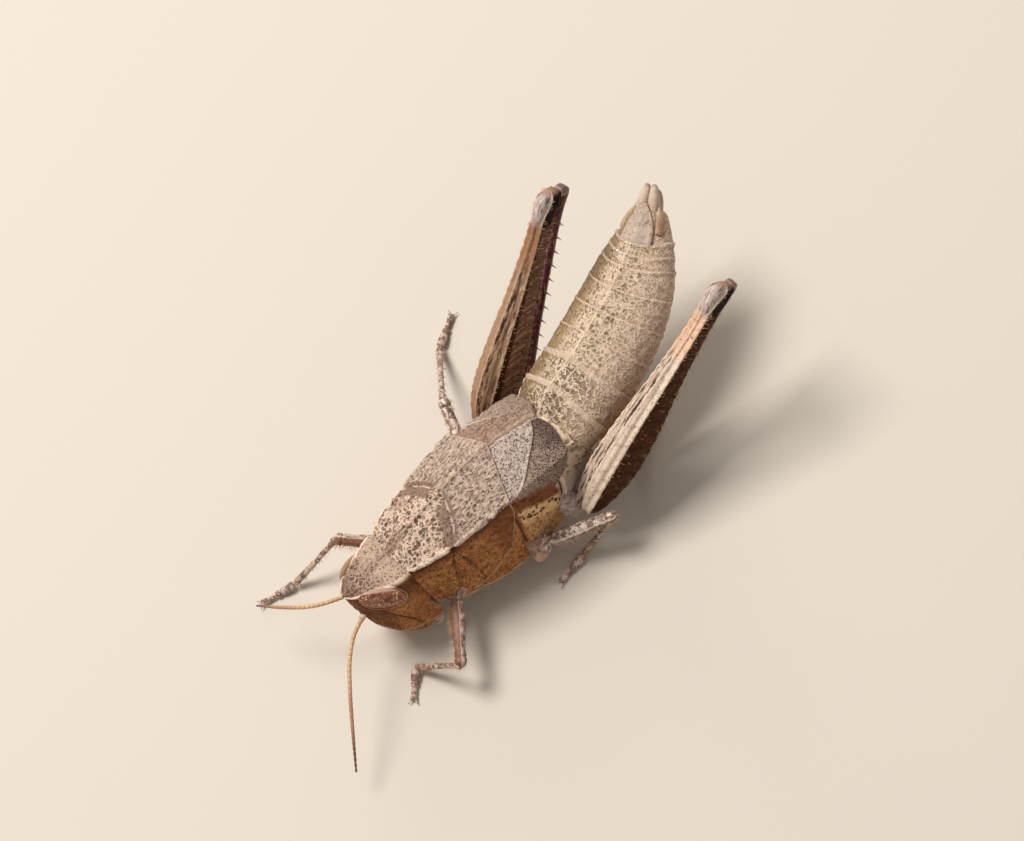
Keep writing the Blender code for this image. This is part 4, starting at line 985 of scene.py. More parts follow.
def tergite_finish(name, spot_scale, patch, beads):
    """Olive-brown cells of a cream net, a cream hind margin and a cream line along the back."""
    coat = Cuticle(name, (0.5, 0.36, 0.255))
    coat.lay(coat.blotches(0.8, 0.45, 0.2), (0.42, 0.295, 0.2), 0.8)
    nets = [(spot_scale, 0.2, 0.8, 0.0, 0.7, 1.0)]
    if patch:
        upper = coat.both(coat.from_to("rear", 0.4, 0.5), coat.from_to("flank", 1.5, 1.1))
        nets.append((2.9, 0.17, 1.4, 0.28, 0.85, upper))
    for scale, width, wobble, dense, strength, ground in nets:
        chance = coat.network(scale, width, wobble, output="Cell")
        for start, shade in ((0.4 - dense, (0.33, 0.23, 0.15)), (0.72 - dense, (0.25, 0.172, 0.1))):
            coat.lay(coat.both(coat.from_to(chance, start, start + 0.03), ground), shade, 0.85)
        pale = coat.from_to(chance, 0.22 - 0.7 * dense, 0.19 - 0.7 * dense)
        coat.lay(coat.both(pale, ground), (0.66, 0.5, 0.37), 0.7)
        net = coat.both(coat.network(scale, width, wobble), ground)
        coat.lay(net, (0.86, 0.68, 0.51), strength)
        coat.lift(net, 0.03)
    coat.lay(coat.pits(1.3 * spot_scale, 0.4, 0.5), (0.24, 0.165, 0.1), 0.7)
    if patch:
        coat.lay(coat.both(upper, coat.pits(2.4, 0.42, 0.6)), (0.19, 0.135, 0.08), 0.85)
    coat.lay(coat.blotches(1.4, 0.57, 0.1), (0.68, 0.51, 0.38), 0.45)
    coat.lay(coat.from_to("left", -0.25, -0.65), (0.27, 0.165, 0.06), 0.72)
    coat.lay(coat.from_to("left", 0.3, 0.8), (0.72, 0.52, 0.39), 0.4)
    # Paler down each flank: partly the flank's own paler colour, partly painted light lifting the shade there.
    coat.lay(coat.from_to("flank", 1.5, 2.0), (0.68, 0.5, 0.38), 0.6)
    coat.lay(coat.from_to("flank", 2.1, 2.3), (0.5, 0.35, 0.21), 0.8)
    coat.lay(coat.from_to("spiracle", 0.16, 0.1), (0.08, 0.045, 0.03))
    coat.lay(coat.band("keel", 0.08, 0.04), (0.86, 0.68, 0.5), 0.85)
    middle, width = (0.14, 0.26) if patch else (0.05, 0.1)
    margin = coat.band("rear", width, 0.07, wander=0.12, at=middle)
    coat.lay(margin, (0.72, 0.55, 0.42), 0.85)
    coat.lay(coat.from_to("rear", 0.015, -0.01), (0.2, 0.13, 0.09), 0.7)
    if beads:
        row = coat.both(coat.band("rear", 0.12, at=0.1), coat.pits(3.6, 0.42, 0.85))
        coat.lay(row, (0.9, 0.8, 0.7))
        coat.lift(row, 0.05)
    coat.grain(10.0, 0.14, 0.02)
    return coat.done()


ring_coats = [tergite_finish("first_ring_cuticle", 2.9, True, False), tergite_finish("ring_cuticle", 3.5, False, False),
              tergite_finish("last_ring_cuticle", 4.0, False, True)]
for number in range(1, 9):
    coat = ring_coats[0 if number <= 2 else 2 if number >= 7 else 1]
    rows = int((TERGITE_ENDS[number] - TERGITE_ENDS[number - 1] + 0.8) / 0.07)
    put(f"ring_{number}", 220, rows, tergite_form(number), coat, "abdomen_cuticle", f"abdomen_{number}")


# ---- Tail -----------------------------------------------------------------------------------------------------
# The last ring narrows into two side plates round the vent, roofed by a pointed shield. A short, flattened spine
# stands at each side of the shield, and behind it are the two pairs of horny egg-laying valves.

TAIL_START, TAIL_LENGTH = 15.3, 2.45
SHIELD_START, SHIELD_LENGTH = 15.45, 2.5
SHIELD_HALF_WIDTH = ((0.0, 0.58), (0.35, 0.58), (0.65, 0.5), (0.85, 0.34), (1.0, 0.1))


def tail_form(u, run):
    """The two side plates, closed to a blunt end behind."""
    angle = (2 * u - 1) * math.pi
    distance = TAIL_START + TAIL_LENGTH * run
    close = np.sqrt(np.clip(1 - np.clip((run - 0.8) / 0.2, 0, 1) ** 2, 0, 1))
    points = abdomen_skin(distance, angle, 0.16 - 0.05 * ramp(run, 0, 0.3))
    centre = abdomen_axes(distance)[0]
    points = centre + (points - centre) * close[:, None]
    flat = np.abs(angle)
    lift = 0.02 * waves(points, 0.7, 21) - 0.1 * hump(flat - 0.75, 0.08) * ramp(run, 0.25, 0.4) * close
    lift = lift - 0.12 * hump(flat - 2.3, 0.1) * close
    return points, lift, {"rear": (1 - run) * 2.4, "keel": angle * 1.3, "flank": flat, "spiracle": 9.0, "left": angle}


def shield_form(u, v):
    """The pointed shield over the vent: a thin raised plate with turned edges."""
    run = np.clip(v / 0.95, 0, 1)
    reach = np.clip((2 * u - 1) / 0.94, -1, 1)
    half = curve(SHIELD_HALF_WIDTH, run)
    distance = SHIELD_START + SHIELD_LENGTH * run
    points = abdomen_skin(distance, reach * half, -0.04)
    over = np.clip((np.abs(2 * u - 1) - 0.94) / 0.06, 0, 1) + np.clip((v - 0.95) / 0.05, 0, 1)
    lift = -0.2 * np.clip(over, 0, 1) + 0.04 * hump(np.abs(reach) - 0.86, 0.12) + 0.015 * waves(points, 0.4, 22)
    lift = lift - 0.05 * hump(run - 0.42, 0.05) * ramp(np.abs(reach), 0.9, 0.5)
    edge = np.minimum((1 - np.abs(reach)) * half * 2.2, (1 - run) * 2.2)
    return points, lift, {"edge": edge, "run": run}


def shield_finish():
    """Grey-cream with fine dark dots, tan at its margins."""
    coat = Cuticle("tail_shield_cuticle", (0.52, 0.41, 0.34))
    coat.lay(coat.pits(4.6, 0.38, 0.8), (0.22, 0.16, 0.12), 0.8)
    coat.lay(coat.blotches(1.8, 0.5, 0.15), (0.62, 0.5, 0.42), 0.6)
    coat.lay(coat.from_to("edge", 0.2, 0.08), (0.52, 0.36, 0.235), 0.85)
    coat.lay(coat.from_to("run", 0.12, 0.02), (0.45, 0.32, 0.22), 0.6)
    coat.grain(9.0, 0.12, 0.02)
    return coat.done()


put("vent_plates", 150, 50, tail_form, ring_coats[2], "abdomen_cuticle", "tail_plate")
put("tail_shield", 60, 60, shield_form, shield_finish(), "abdomen_cuticle")


def axes_along(path):
    """Unit directions along a path of points."""
    return unit(np.gradient(path, axis=0))


def limb_form(points, wide, deep, out, box=1.0, relief=None, cap=0.05, even=False):
    """A closed tube along a smooth path. wide is its half size towards out, deep across that, by share of the length.

    relief(share, turn, along) gives the lift and the marks; turn is 0 on the upper edge and grows towards out.
    """
    knots = [(index, tuple(point)) for index, point in enumerate(points)]
    dense = curve(knots, np.linspace(0, len(points) - 1, 400))
    lengths = np.concatenate([[0], np.cumsum(np.linalg.norm(np.diff(dense, axis=0), axis=1))])
    total = lengths[-1]
    ahead = axes_along(dense)
    out = np.array(out, float)

    def form(u, v):
        share = v if even else v - 0.6 * np.sin(2 * math.pi * v) / (2 * math.pi)
        turn = (2 * u - 1) * math.pi
        at = share * total
        centre, forward = (np.stack([np.interp(at, lengths, line[:, axis]) for axis in range(3)], axis=-1)
                           for line in (dense, ahead))
        across = unit(out - forward * (forward @ out)[:, None])
        upward = np.cross(across, forward)
        upward *= np.sign(upward[:, 2].mean()) or 1.0
        near = np.clip(np.minimum(share, 1 - share) / cap, 0, 1)
        round_end = np.sqrt(1 - (1 - near) ** 2)
        x, z = (np.sign(wave) * np.abs(wave) ** box for wave in (np.sin(turn), np.cos(turn)))
        reach, rise = ((wave * curve(sizes, share) * round_end)[:, None] for wave, sizes in ((x, wide), (z, deep)))
        lift, marks = relief(share, turn, at) if relief else (0.0 * at, {})
        marks = dict(marks, share=share, top=np.cos(turn), out=np.sin(turn), along=at)
        return centre + across * reach + upward * rise, lift * round_end, marks
    return form


def horn_finish(name, base, pale):
    """Smooth horn, paler towards its tip."""
    coat = Cuticle(name, base, 0.5, 0.2)
    coat.lay(coat.blotches(2.5, 0.48, 0.15), pale, 0.6)
    coat.lay(coat.from_to("share", 0.45, 0.8), pale, 0.8)
    coat.lay(coat.pits(4.6, 0.36, 0.6), tinted(pale, 0.5), 0.6)
    coat.lay(coat.from_to("share", 0.9, 1.0), (0.2, 0.11, 0.07), 0.7)
    coat.grain(8.0, 0.15, 0.02)
    return coat.done()


valve_coat = horn_finish("valve_horn", (0.55, 0.4, 0.3), (0.64, 0.5, 0.39))
cercus_coats = {"left": horn_finish("left_cercus_horn", (0.4, 0.22, 0.125), (0.56, 0.4, 0.29)),
                "right": horn_finish("right_cercus_horn", (0.46, 0.32, 0.23), (0.52, 0.39, 0.3))}
tip_centre, tip_ahead, tip_left, tip_up = (line[0] for line in abdomen_axes(np.array([17.3])))
for name, side in SIDES.items():
    upper = [tip_centre + tip_left * side * aside + tip_up * rise + tip_ahead * step
             for step, aside, rise in ((-0.9, 0.42, 0.1), (0.0, 0.39, 0.2), (0.7, 0.34, 0.26), (1.3, 0.28, 0.26),
                                       (1.75, 0.21, 0.24))]
    form = limb_form(upper, ((0, 0.42), (0.35, 0.39), (0.6, 0.35), (0.85, 0.26), (1, 0.16)),
                     ((0, 0.6), (0.35, 0.52), (0.7, 0.38), (1, 0.18)), tip_left * side, 0.85, cap=0.07)
    put(f"upper_valve_{name}", 28, 30, form, valve_coat, "abdomen_cuticle", f"valve_{name}")
    lower = [tip_centre + tip_left * side * aside - tip_up * drop + tip_ahead * step
             for step, aside, drop in ((-0.5, 0.36, 0.35), (0.3, 0.36, 0.36), (0.9, 0.32, 0.34), (1.45, 0.22, 0.3))]
    form = limb_form(lower, ((0, 0.3), (0.5, 0.33), (0.85, 0.25), (1, 0.1)), ((0, 0.3), (0.5, 0.3), (1, 0.1)),
                     tip_left * side, cap=0.08)
    put(f"lower_valve_{name}", 28, 24, form, valve_coat, "abdomen_cuticle")
    roll = 0.0 if side > 0 else 0.5
    spine = abdomen_skin(np.array([16.1, 16.6, 17.2, 17.8]), side * (np.array([0.82, 0.86, 0.92, 1.0]) + roll),
                         0.04 + 0.16 * roll)
    flat = tip_left * side * 0.6 - tip_up * 0.8
    form = limb_form(list(spine), ((0, 0.27), (0.3, 0.29), (0.7, 0.18), (1, 0.04)), ((0, 0.14), (0.4, 0.16), (1, 0.04)),
                     flat)
    put(f"cercus_spine_{name}", 24, 30, form, cercus_coats[name], "abdomen_cuticle", f"cercus_{name}")


# ---- Feelers and palps ----------------------------------------------------------------------------------------
# Each feeler is a chain of about thirty short joints: a stout pale one in the socket, then golden ones that turn
# pinkish and end dark. The palps are short, jointed mouth feelers with pale, blunt tips.

FEELER_LEFT = ((0.72, -15.25, -3.45), (1.25, -16.9, -4.0), (2.2, -18.1, -4.4), (3.4, -19.2, -5.0), (4.4, -20.1, -5.7),
               (5.5, -21.1, -6.6), (6.5, -22.1, -7.7))
FEELER_RIGHT = ((-0.72, -15.25, -3.4), (-1.15, -16.9, -2.95), (-1.8, -18.0, -2.85), (-2.95, -19.1, -2.95),
                (-4.5, -20.2, -3.3))
FEELER_SIZE = ((0, 0.2), (0.06, 0.22), (0.09, 0.15), (0.3, 0.14), (0.7, 0.12), (1, 0.07))
PALP_SIZE = ((0, 0.14), (0.2, 0.2), (1, 0.2))


def jointed(pitch, first, depth):
    """Relief of a chain of joints, each narrowest where it meets the next."""
    def relief(share, turn, along):
        near = np.where(along < first, along / first, (along - first) / pitch % 1.0)
        lift = -depth * (1 - np.sin(near * math.pi) ** 0.6) * np.where(along < first, 1.6, 1.0)
        return lift, {"joint": np.minimum(near, 1 - near)}
    return relief


def feeler_finish(whole):
    """Golden joints, whitish at the root and dark violet-brown at the tip. whole is the length shown."""
    coat = Cuticle(f"feeler_cuticle_{whole}", (0.66, 0.4, 0.2), 0.45, 0.4)
    coat.lay(coat.from_to("along", 0.85, 0.55), (0.7, 0.57, 0.46))
    coat.lay(coat.blotches(2.4, 0.5, 0.15), (0.78, 0.55, 0.32), 0.5)
    coat.lay(coat.from_to("share", 0.4 * whole, 0.62 * whole), (0.48, 0.23, 0.13), 0.9)
    coat.lay(coat.from_to("share", 0.68 * whole, 0.9 * whole), (0.16, 0.07, 0.06), 0.95)
    coat.lay(coat.both(coat.from_to("joint", 0.14, 0.05), coat.from_to("along", 0.5, 0.7)), (0.36, 0.17, 0.08), 0.6)
    coat.grain(9.0, 0.12, 0.01)
    return coat.done()


for name, path, pitch, whole in (("left", FEELER_LEFT, 0.34, 1.0), ("right", FEELER_RIGHT, 0.3, 1.1)):
    form = limb_form(path, FEELER_SIZE, FEELER_SIZE, (0.0, 0.0, 1.0), relief=jointed(pitch, 0.7, 0.03), cap=0.012,
                     even=True)
    put(f"feeler_{name}", 20, 260, form, feeler_finish(whole), "feeler_cuticle", f"antenna_{name}")


def leg_finish(name, dark, mid, pale):
    """Marbled cuticle: pale flakes over brown, with darker rings."""
    coat = Cuticle(name, mid, 0.5, 0.4)
    coat.lay(coat.blotches(2.4, 0.46, 0.08, 0.6), pale, 0.9)
    coat.lay(coat.blotches(3.4, 0.54, 0.08, 0.8), dark, 0.85)
    coat.lay(coat.pits(5.0, 0.3, 0.4), dark, 0.6)
    coat.grain(9.0, 0.18, 0.02)
    return coat


palp_coat = leg_finish("palp_cuticle", (0.3, 0.16, 0.09), (0.5, 0.34, 0.24), (0.66, 0.5, 0.38)).done()
for name, side in SIDES.items():
    path = [(side * x, y, z) for x, y, z in ((1.3, -12.5, -6.7), (1.72, -12.1, -7.15), (1.9, -12.0, -7.5),
                                             (1.85, -12.15, -7.9), (1.65, -12.4, -8.2))]
    form = limb_form(path, PALP_SIZE, PALP_SIZE, (0, 1, 0), relief=jointed(0.62, 0.5, 0.06), cap=0.08)
    put(f"palp_{name}_joints", 24, 50, form, palp_coat, "leg_cuticle", f"palp_{name}")


# ---- Hind legs ------------------------------------------------------------------------------------------------
# The jumping legs, folded. The femur is a long box of cuticle, deep at its base, with a flat pale top between toothed
# edges, dark sides ribbed like a herringbone where the muscles take hold, and a swollen grey knee. The spined shin
# folds back under it.

HIPS = {"left": np.array([3.7, -1.3, -6.2]), "right": np.array([-5.0, -2.5, -5.3])}
KNEES = {"left": HIPS["left"] + [0.2, 14.5, 9.6], "right": HIPS["right"] + [-1.4, 11.5, 13.0]}
FEMUR_DEPTH = ((0.0, 0.6), (0.06, 1.2), (0.15, 1.85), (0.25, 2.0), (0.4, 1.75), (0.55, 1.25), (0.7, 0.9), (0.82, 0.74),
               (0.9, 0.92), (0.96, 1.05), (1.0, 0.8))
FEMUR_WIDTH = ((0.0, 0.5), (0.06, 0.8), (0.18, 1.05), (0.32, 1.0), (0.5, 0.8), (0.7, 0.6), (0.83, 0.51), (0.91, 0.52),
               (0.97, 0.56), (1.0, 0.42))
EDGE_ANGLES = {
    "outer": ((0.0, 48.0), (0.82, 48.0), (0.9, 56.0), (0.96, 70.0), (1.0, 84.0)),
    "crown": ((0.0, 5.0), (1.0, 5.0)),
    "inner": ((0.0, -38.0), (0.82, -40.0), (0.9, -50.0), (0.96, -64.0), (1.0, -72.0)),
    "outer_low": ((0.0, 138.0), (1.0, 138.0)),
    "inner_low": ((0.0, -138.0), (1.0, -138.0)),
}
RIB_SPACING = 0.95
LUNULE = 0.955                # where the knee's crescent lies, as a share of the femur
FEMUR_LENGTH = 17.4


def hind_femur_relief(share, turn, along):
    """Toothed edges, ribs on both faces and the swollen lobes of the knee."""
    wide, deep = curve(FEMUR_WIDTH, share), curve(FEMUR_DEPTH, share)
    size = np.sqrt(wide * deep)
    lift, marks = 0.0, {}
    shank = ramp(share, 0.9, 0.84)
    for label, angles in EDGE_ANGLES.items():
        delta = turn - np.radians(curve(angles, share))
        near = np.where(np.cos(delta) > 0, np.sin(delta) * size, 9.0 * np.sign(np.sin(delta)))
        marks[label] = near
        tooth = np.sin(along * (9.0 if label != "crown" else 14.0) + angles[0][1] + 1.5 * np.sin(along * 1.7))
        teeth = 0.8 + (0.2 if label != "crown" else 0.12) * tooth * shank
        kept = shank if label == "crown" else 0.5 + 0.5 * shank
        lift = lift + 0.12 * hump(near, 0.1) * teeth * kept
    lift = lift - 0.07 * (hump(marks["outer"] + 0.32, 0.17) + hump(marks["inner"] - 0.3, 0.17)) * shank
    face = np.where(np.abs(np.sin(turn)) > 0.3, -np.cos(turn), 0)
    chevron = along + 0.75 * (face + 0.05) ** 2 * deep
    sides = ramp(np.abs(turn), 0.95, 1.15) * ramp(np.abs(turn), 2.35, 2.15) * shank * ramp(share, 0.06, 0.12)
    wave = np.cos(2 * math.pi * chevron / RIB_SPACING)
    lift = lift + 0.05 * ramp(wave, 0.2, 1.0) * sides
    lunule = np.hypot((share - LUNULE) * FEMUR_LENGTH, (np.cos(turn) + 0.35) * 0.9)
    lift = lift - 0.12 * hump(lunule - 0.4, 0.14) * ramp(np.abs(np.sin(turn)), 0.5, 0.8) * ramp(share, 0.86, 0.9)
    lift = lift - 0.03 * hump(share - 0.885, 0.012)
    marks.update(chevron=chevron, sides=sides, lunule=np.where(share > 0.9, lunule, 9.0))
    return lift, marks


def hind_femur_finish(name, strip_colour, streaked_colour, light):
    """Buff with dark dashes above, dark red-brown outside, herringboned brown inside, a streaked lilac-grey knee."""
    coat = Cuticle(name, (0.07, 0.024, 0.01), 0.7, 0.05)
    coat.lay(coat.blotches(1.6, 0.5, 0.15), (0.115, 0.045, 0.02), 0.7)
    wave = sums(coat.tree, "COSINE", sums(coat.tree, "MULTIPLY", coat.mark("chevron"), 2 * math.pi / RIB_SPACING))
    rib = coat.both(coat.from_to(wave, 0.6, 0.95), coat.mark("sides"))
    inside = coat.from_to("out", 0.0, -0.1)
    coat.lay(coat.both(inside, coat.mark("sides")), (0.28, 0.155, 0.1), 0.85)
    coat.lay(coat.both(rib, inside, coat.blotches(3.0, 0.4, 0.1)), (0.46, 0.31, 0.21), 0.8)
    groove = coat.both(coat.from_to(wave, -0.6, -0.95), coat.mark("sides"))
    coat.lay(coat.both(groove, inside), (0.07, 0.03, 0.02), 0.7)
    scallop = coat.both(coat.from_to(wave, -0.93, -0.985), coat.mark("sides"), inside)
    coat.lay(coat.both(scallop, coat.blotches(4.0, 0.45, 0.1)), (0.7, 0.54, 0.42), 0.9)
    # The inner face darkens towards the knee: painted shade.
    coat.lay(coat.both(inside, coat.mark("sides"), coat.from_to("share", 0.4, 0.75)), (0.09, 0.045, 0.032), 0.5)
    coat.lay(coat.both(rib, coat.off(inside)), (0.035, 0.012, 0.007), 0.6)
    coat.lay(coat.pits(2.6, 0.13, 0.22), (0.7, 0.5, 0.32), 0.8)
    roof = coat.both(coat.from_to("outer", 0.06, 0.0), coat.from_to("inner", -0.06, 0.0))
    coat.lay(roof, strip_colour)
    coat.over(roof, (coat.blotches(2.4, 0.53, 0.1), tinted(strip_colour, 0.72), 0.8),
                    (coat.pits(3.6, 0.32, 0.4), (0.3, 0.2, 0.13), 0.75))
    strip = coat.both(roof, coat.from_to("crown", 0.02, -0.06))
    coat.lay(strip, streaked_colour, 0.85)
    lengthwise = coat.drawn("crown", "along", 0.16)
    coat.over(strip, (coat.blotches(5.0, 0.52, 0.06, spot=lengthwise), (0.1, 0.058, 0.04), 0.9),
                     (coat.blotches(6.5, 0.56, 0.06, spot=lengthwise), light, 0.7))
    dash = coat.band("crown", 0.09, 0.04, wander=0.2, at=-0.14)
    broken = coat.blotches(3.0, 0.46, 0.04, spot=lengthwise)
    coat.lay(coat.both(dash, broken, roof), (0.055, 0.03, 0.02), 0.95)
    for label, width in (("crown", 0.06), ("inner", 0.08), ("outer", 0.09)):
        line = coat.band(label, width, 0.04, wander=0.12, grain=4.0)
        coat.lay(coat.both(line, coat.from_to("share", 0.9, 0.84)), light, 0.8)
    orange = coat.both(roof, coat.from_to("share", 0.66, 0.74))
    coat.lay(orange, tuple(value * tint for value, tint in zip(strip_colour, (0.92, 0.72, 0.6))), 0.7)
    coat.lay(coat.both(orange, coat.pits(3.0, 0.32, 0.5)), (0.3, 0.16, 0.1), 0.8)
    knee = coat.both(coat.from_to("share", 0.85, 0.9), roof)
    coat.lay(knee, (0.54, 0.43, 0.39))
    coat.over(knee, (coat.blotches(6.0, 0.54, 0.06, spot=lengthwise), (0.82, 0.72, 0.67), 0.6),
                    (coat.blotches(7.0, 0.56, 0.05, spot=lengthwise), (0.2, 0.135, 0.12), 0.75))
    short = coat.drawn("crown", "along", 0.4)
    coat.lay(coat.both(knee, coat.pits(4.6, 0.42, 0.75, spot=short)), (0.13, 0.08, 0.068), 0.85)
    for label, beyond in (("outer", 0.3), ("inner", -0.3)):
        rim = coat.band(label, 0.11, 0.05, wander=0.05)
        coat.lay(coat.both(rim, coat.from_to("share", 0.86, 0.91)), (0.9, 0.81, 0.76), 0.95)
        coat.lay(coat.both(coat.band(label, 0.32, 0.06, wander=0.06, at=beyond), coat.from_to("share", 0.84, 0.89)),
                 (0.012, 0.006, 0.006), 0.95)
    coat.lay(coat.band("lunule", 0.13, wander=0.06, at=0.42), (0.02, 0.012, 0.012), 0.95)
    coat.lay(coat.from_to("share", 0.985, 0.998), (0.42, 0.24, 0.17), 0.85)
    coat.lay(coat.from_to("share", 0.04, 0.0), (0.4, 0.27, 0.19), 0.8)
    coat.grain(9.0, 0.18, 0.025)
    return coat.done()


def shin_finish():
    """Dark maroon, paler and greyish towards the knee and foot."""
    coat = Cuticle("shin_cuticle_hind", (0.075, 0.008, 0.02), 0.4, 0.45)
    coat.lay(coat.blotches(1.8, 0.48, 0.12), (0.14, 0.022, 0.035), 0.8)
    coat.lay(coat.pits(4.0, 0.24, 0.3), (0.36, 0.22, 0.2), 0.5)
    coat.lay(coat.from_to("share", 0.12, 0.05), (0.2, 0.1, 0.08), 0.8)
    coat.lay(coat.from_to("share", 0.055, 0.03), (0.5, 0.39, 0.36), 0.85)
    coat.lay(coat.both(coat.from_to("share", 0.055, 0.03), coat.blotches(2.2, 0.52, 0.1)), (0.26, 0.17, 0.15), 0.6)
    coat.lay(coat.from_to("share", 0.9, 1.0), (0.26, 0.13, 0.1), 0.7)
    coat.grain(9.0, 0.15, 0.02)
    return coat.done()


def thorns(name, roots, aims, lengths, radius, finish, slot, hook=0.0):
    """A row of hard spines, each a cone set at its root and leaning along its aim."""
    builder = bmesh.new()
    share = builder.verts.layers.float.new("share")
    for root, aim, length in zip(roots, aims, lengths):
        aim = unit(aim)
        side = unit(np.cross(aim, (0.3, 0.2, 1.0)))
        made = bmesh.ops.create_cone(builder, cap_ends=True, segments=8, radius1=1.0, radius2=0.12, depth=1.0)["verts"]
        for vert in made:
            up = vert.co.z + 0.5
            point = np.asarray(root) + (side * vert.co.x + np.cross(aim, side) * vert.co.y) * radius + aim * up * length
            point = point - np.array([0, 0, hook]) * up * up * length
            vert[share] = up
            vert.co = stand(point)
    bmesh.ops.recalc_face_normals(builder, faces=builder.faces)
    mesh = bpy.data.meshes.new(name)
    builder.to_mesh(mesh)
    builder.free()
    mesh.shade_smooth()
    place(name, mesh, finish, slot)


def spine_finish():
    """Pale horn with dark tips."""
    coat = Cuticle("spine_horn", (0.6, 0.47, 0.38), 0.4, 0.45)
    coat.lay(coat.from_to("share", 0.6, 0.85), (0.04, 0.02, 0.018))
    coat.grain(9.0, 0.15)
    return coat.done()


def foot_form(heel, toe, radius, out):
    """The three joints of a foot down onto the floor: a long padded one, a short one and a slender last one."""
    heel, toe = np.array(heel, float), np.array(toe, float)
    middle = heel + (toe - heel) * 0.45
    middle[2] = toe[2] = 0.95 * radius
    points = [on_floor(*point) for point in (heel, middle, toe)]

    def relief(share, turn, along):
        near = np.minimum(np.abs(share - 0.42), np.abs(share - 0.6))
        lift = -0.12 * radius / 0.3 * hump(near, 0.018)
        pad = np.minimum(np.abs(share - 0.15), np.abs(share - 0.29))
        lift = lift - 0.05 * hump(pad, 0.014) * ramp(np.cos(turn), 0, -0.6)
        lift = lift + 0.04 * hump(share - 0.97, 0.03)
        return lift, {}
    sizes = ((0, 0.75 * radius), (0.1, radius), (0.38, 0.95 * radius), (0.5, 0.85 * radius), (0.7, 0.62 * radius),
             (0.9, 0.7 * radius), (1, 0.6 * radius))
    return limb_form(points, sizes, sizes, out, relief=relief, cap=0.05)


def claws(name, heel, toe, radius, finish):
    """The pair of hooked claws at the end of a foot."""
    heel, toe = np.array(heel, float), np.array(toe, float)
    toe[2] = 0.95 * radius
    ahead = unit((toe - heel) * [1, 1, 0])
    aside = np.array([-ahead[1], ahead[0], 0])
    tip = toe - ahead * 0.1
    roots = [on_floor(*(tip + aside * side * 0.09)) for side in (1, -1)]
    aims = [on_floor(*(tip + ahead + aside * side * 0.7 + [0, 0, 0.28])) - on_floor(*tip) for side in (1, -1)]
    thorns(name, roots, aims, (0.42, 0.42), 0.075, finish, "leg_cuticle", hook=0.4)


femur_coats = {
    "left": hind_femur_finish("left_femur_cuticle", (0.95, 0.75, 0.6), (0.52, 0.39, 0.3), (0.8, 0.64, 0.5)),
    "right": hind_femur_finish("right_femur_cuticle", (0.4, 0.24, 0.148), (0.32, 0.185, 0.11), (0.62, 0.43, 0.3)),
}
shin_coat, spine_coat = shin_finish(), spine_finish()
hind_foot_coat = leg_finish("hind_foot_cuticle", (0.13, 0.05, 0.035), (0.28, 0.15, 0.1), (0.5, 0.36, 0.27)).done()
# The hip colours are set lighter to lift the shade the hips sit in: painted light.
coxa_coat = leg_finish("hip_cuticle", (0.36, 0.25, 0.2), (0.62, 0.48, 0.42), (0.78, 0.65, 0.58)).done()


def lying(vector):
    """A direction of the standing frame in the animal's own frame."""
    return on_floor(*vector) - on_floor(0, 0, 0)


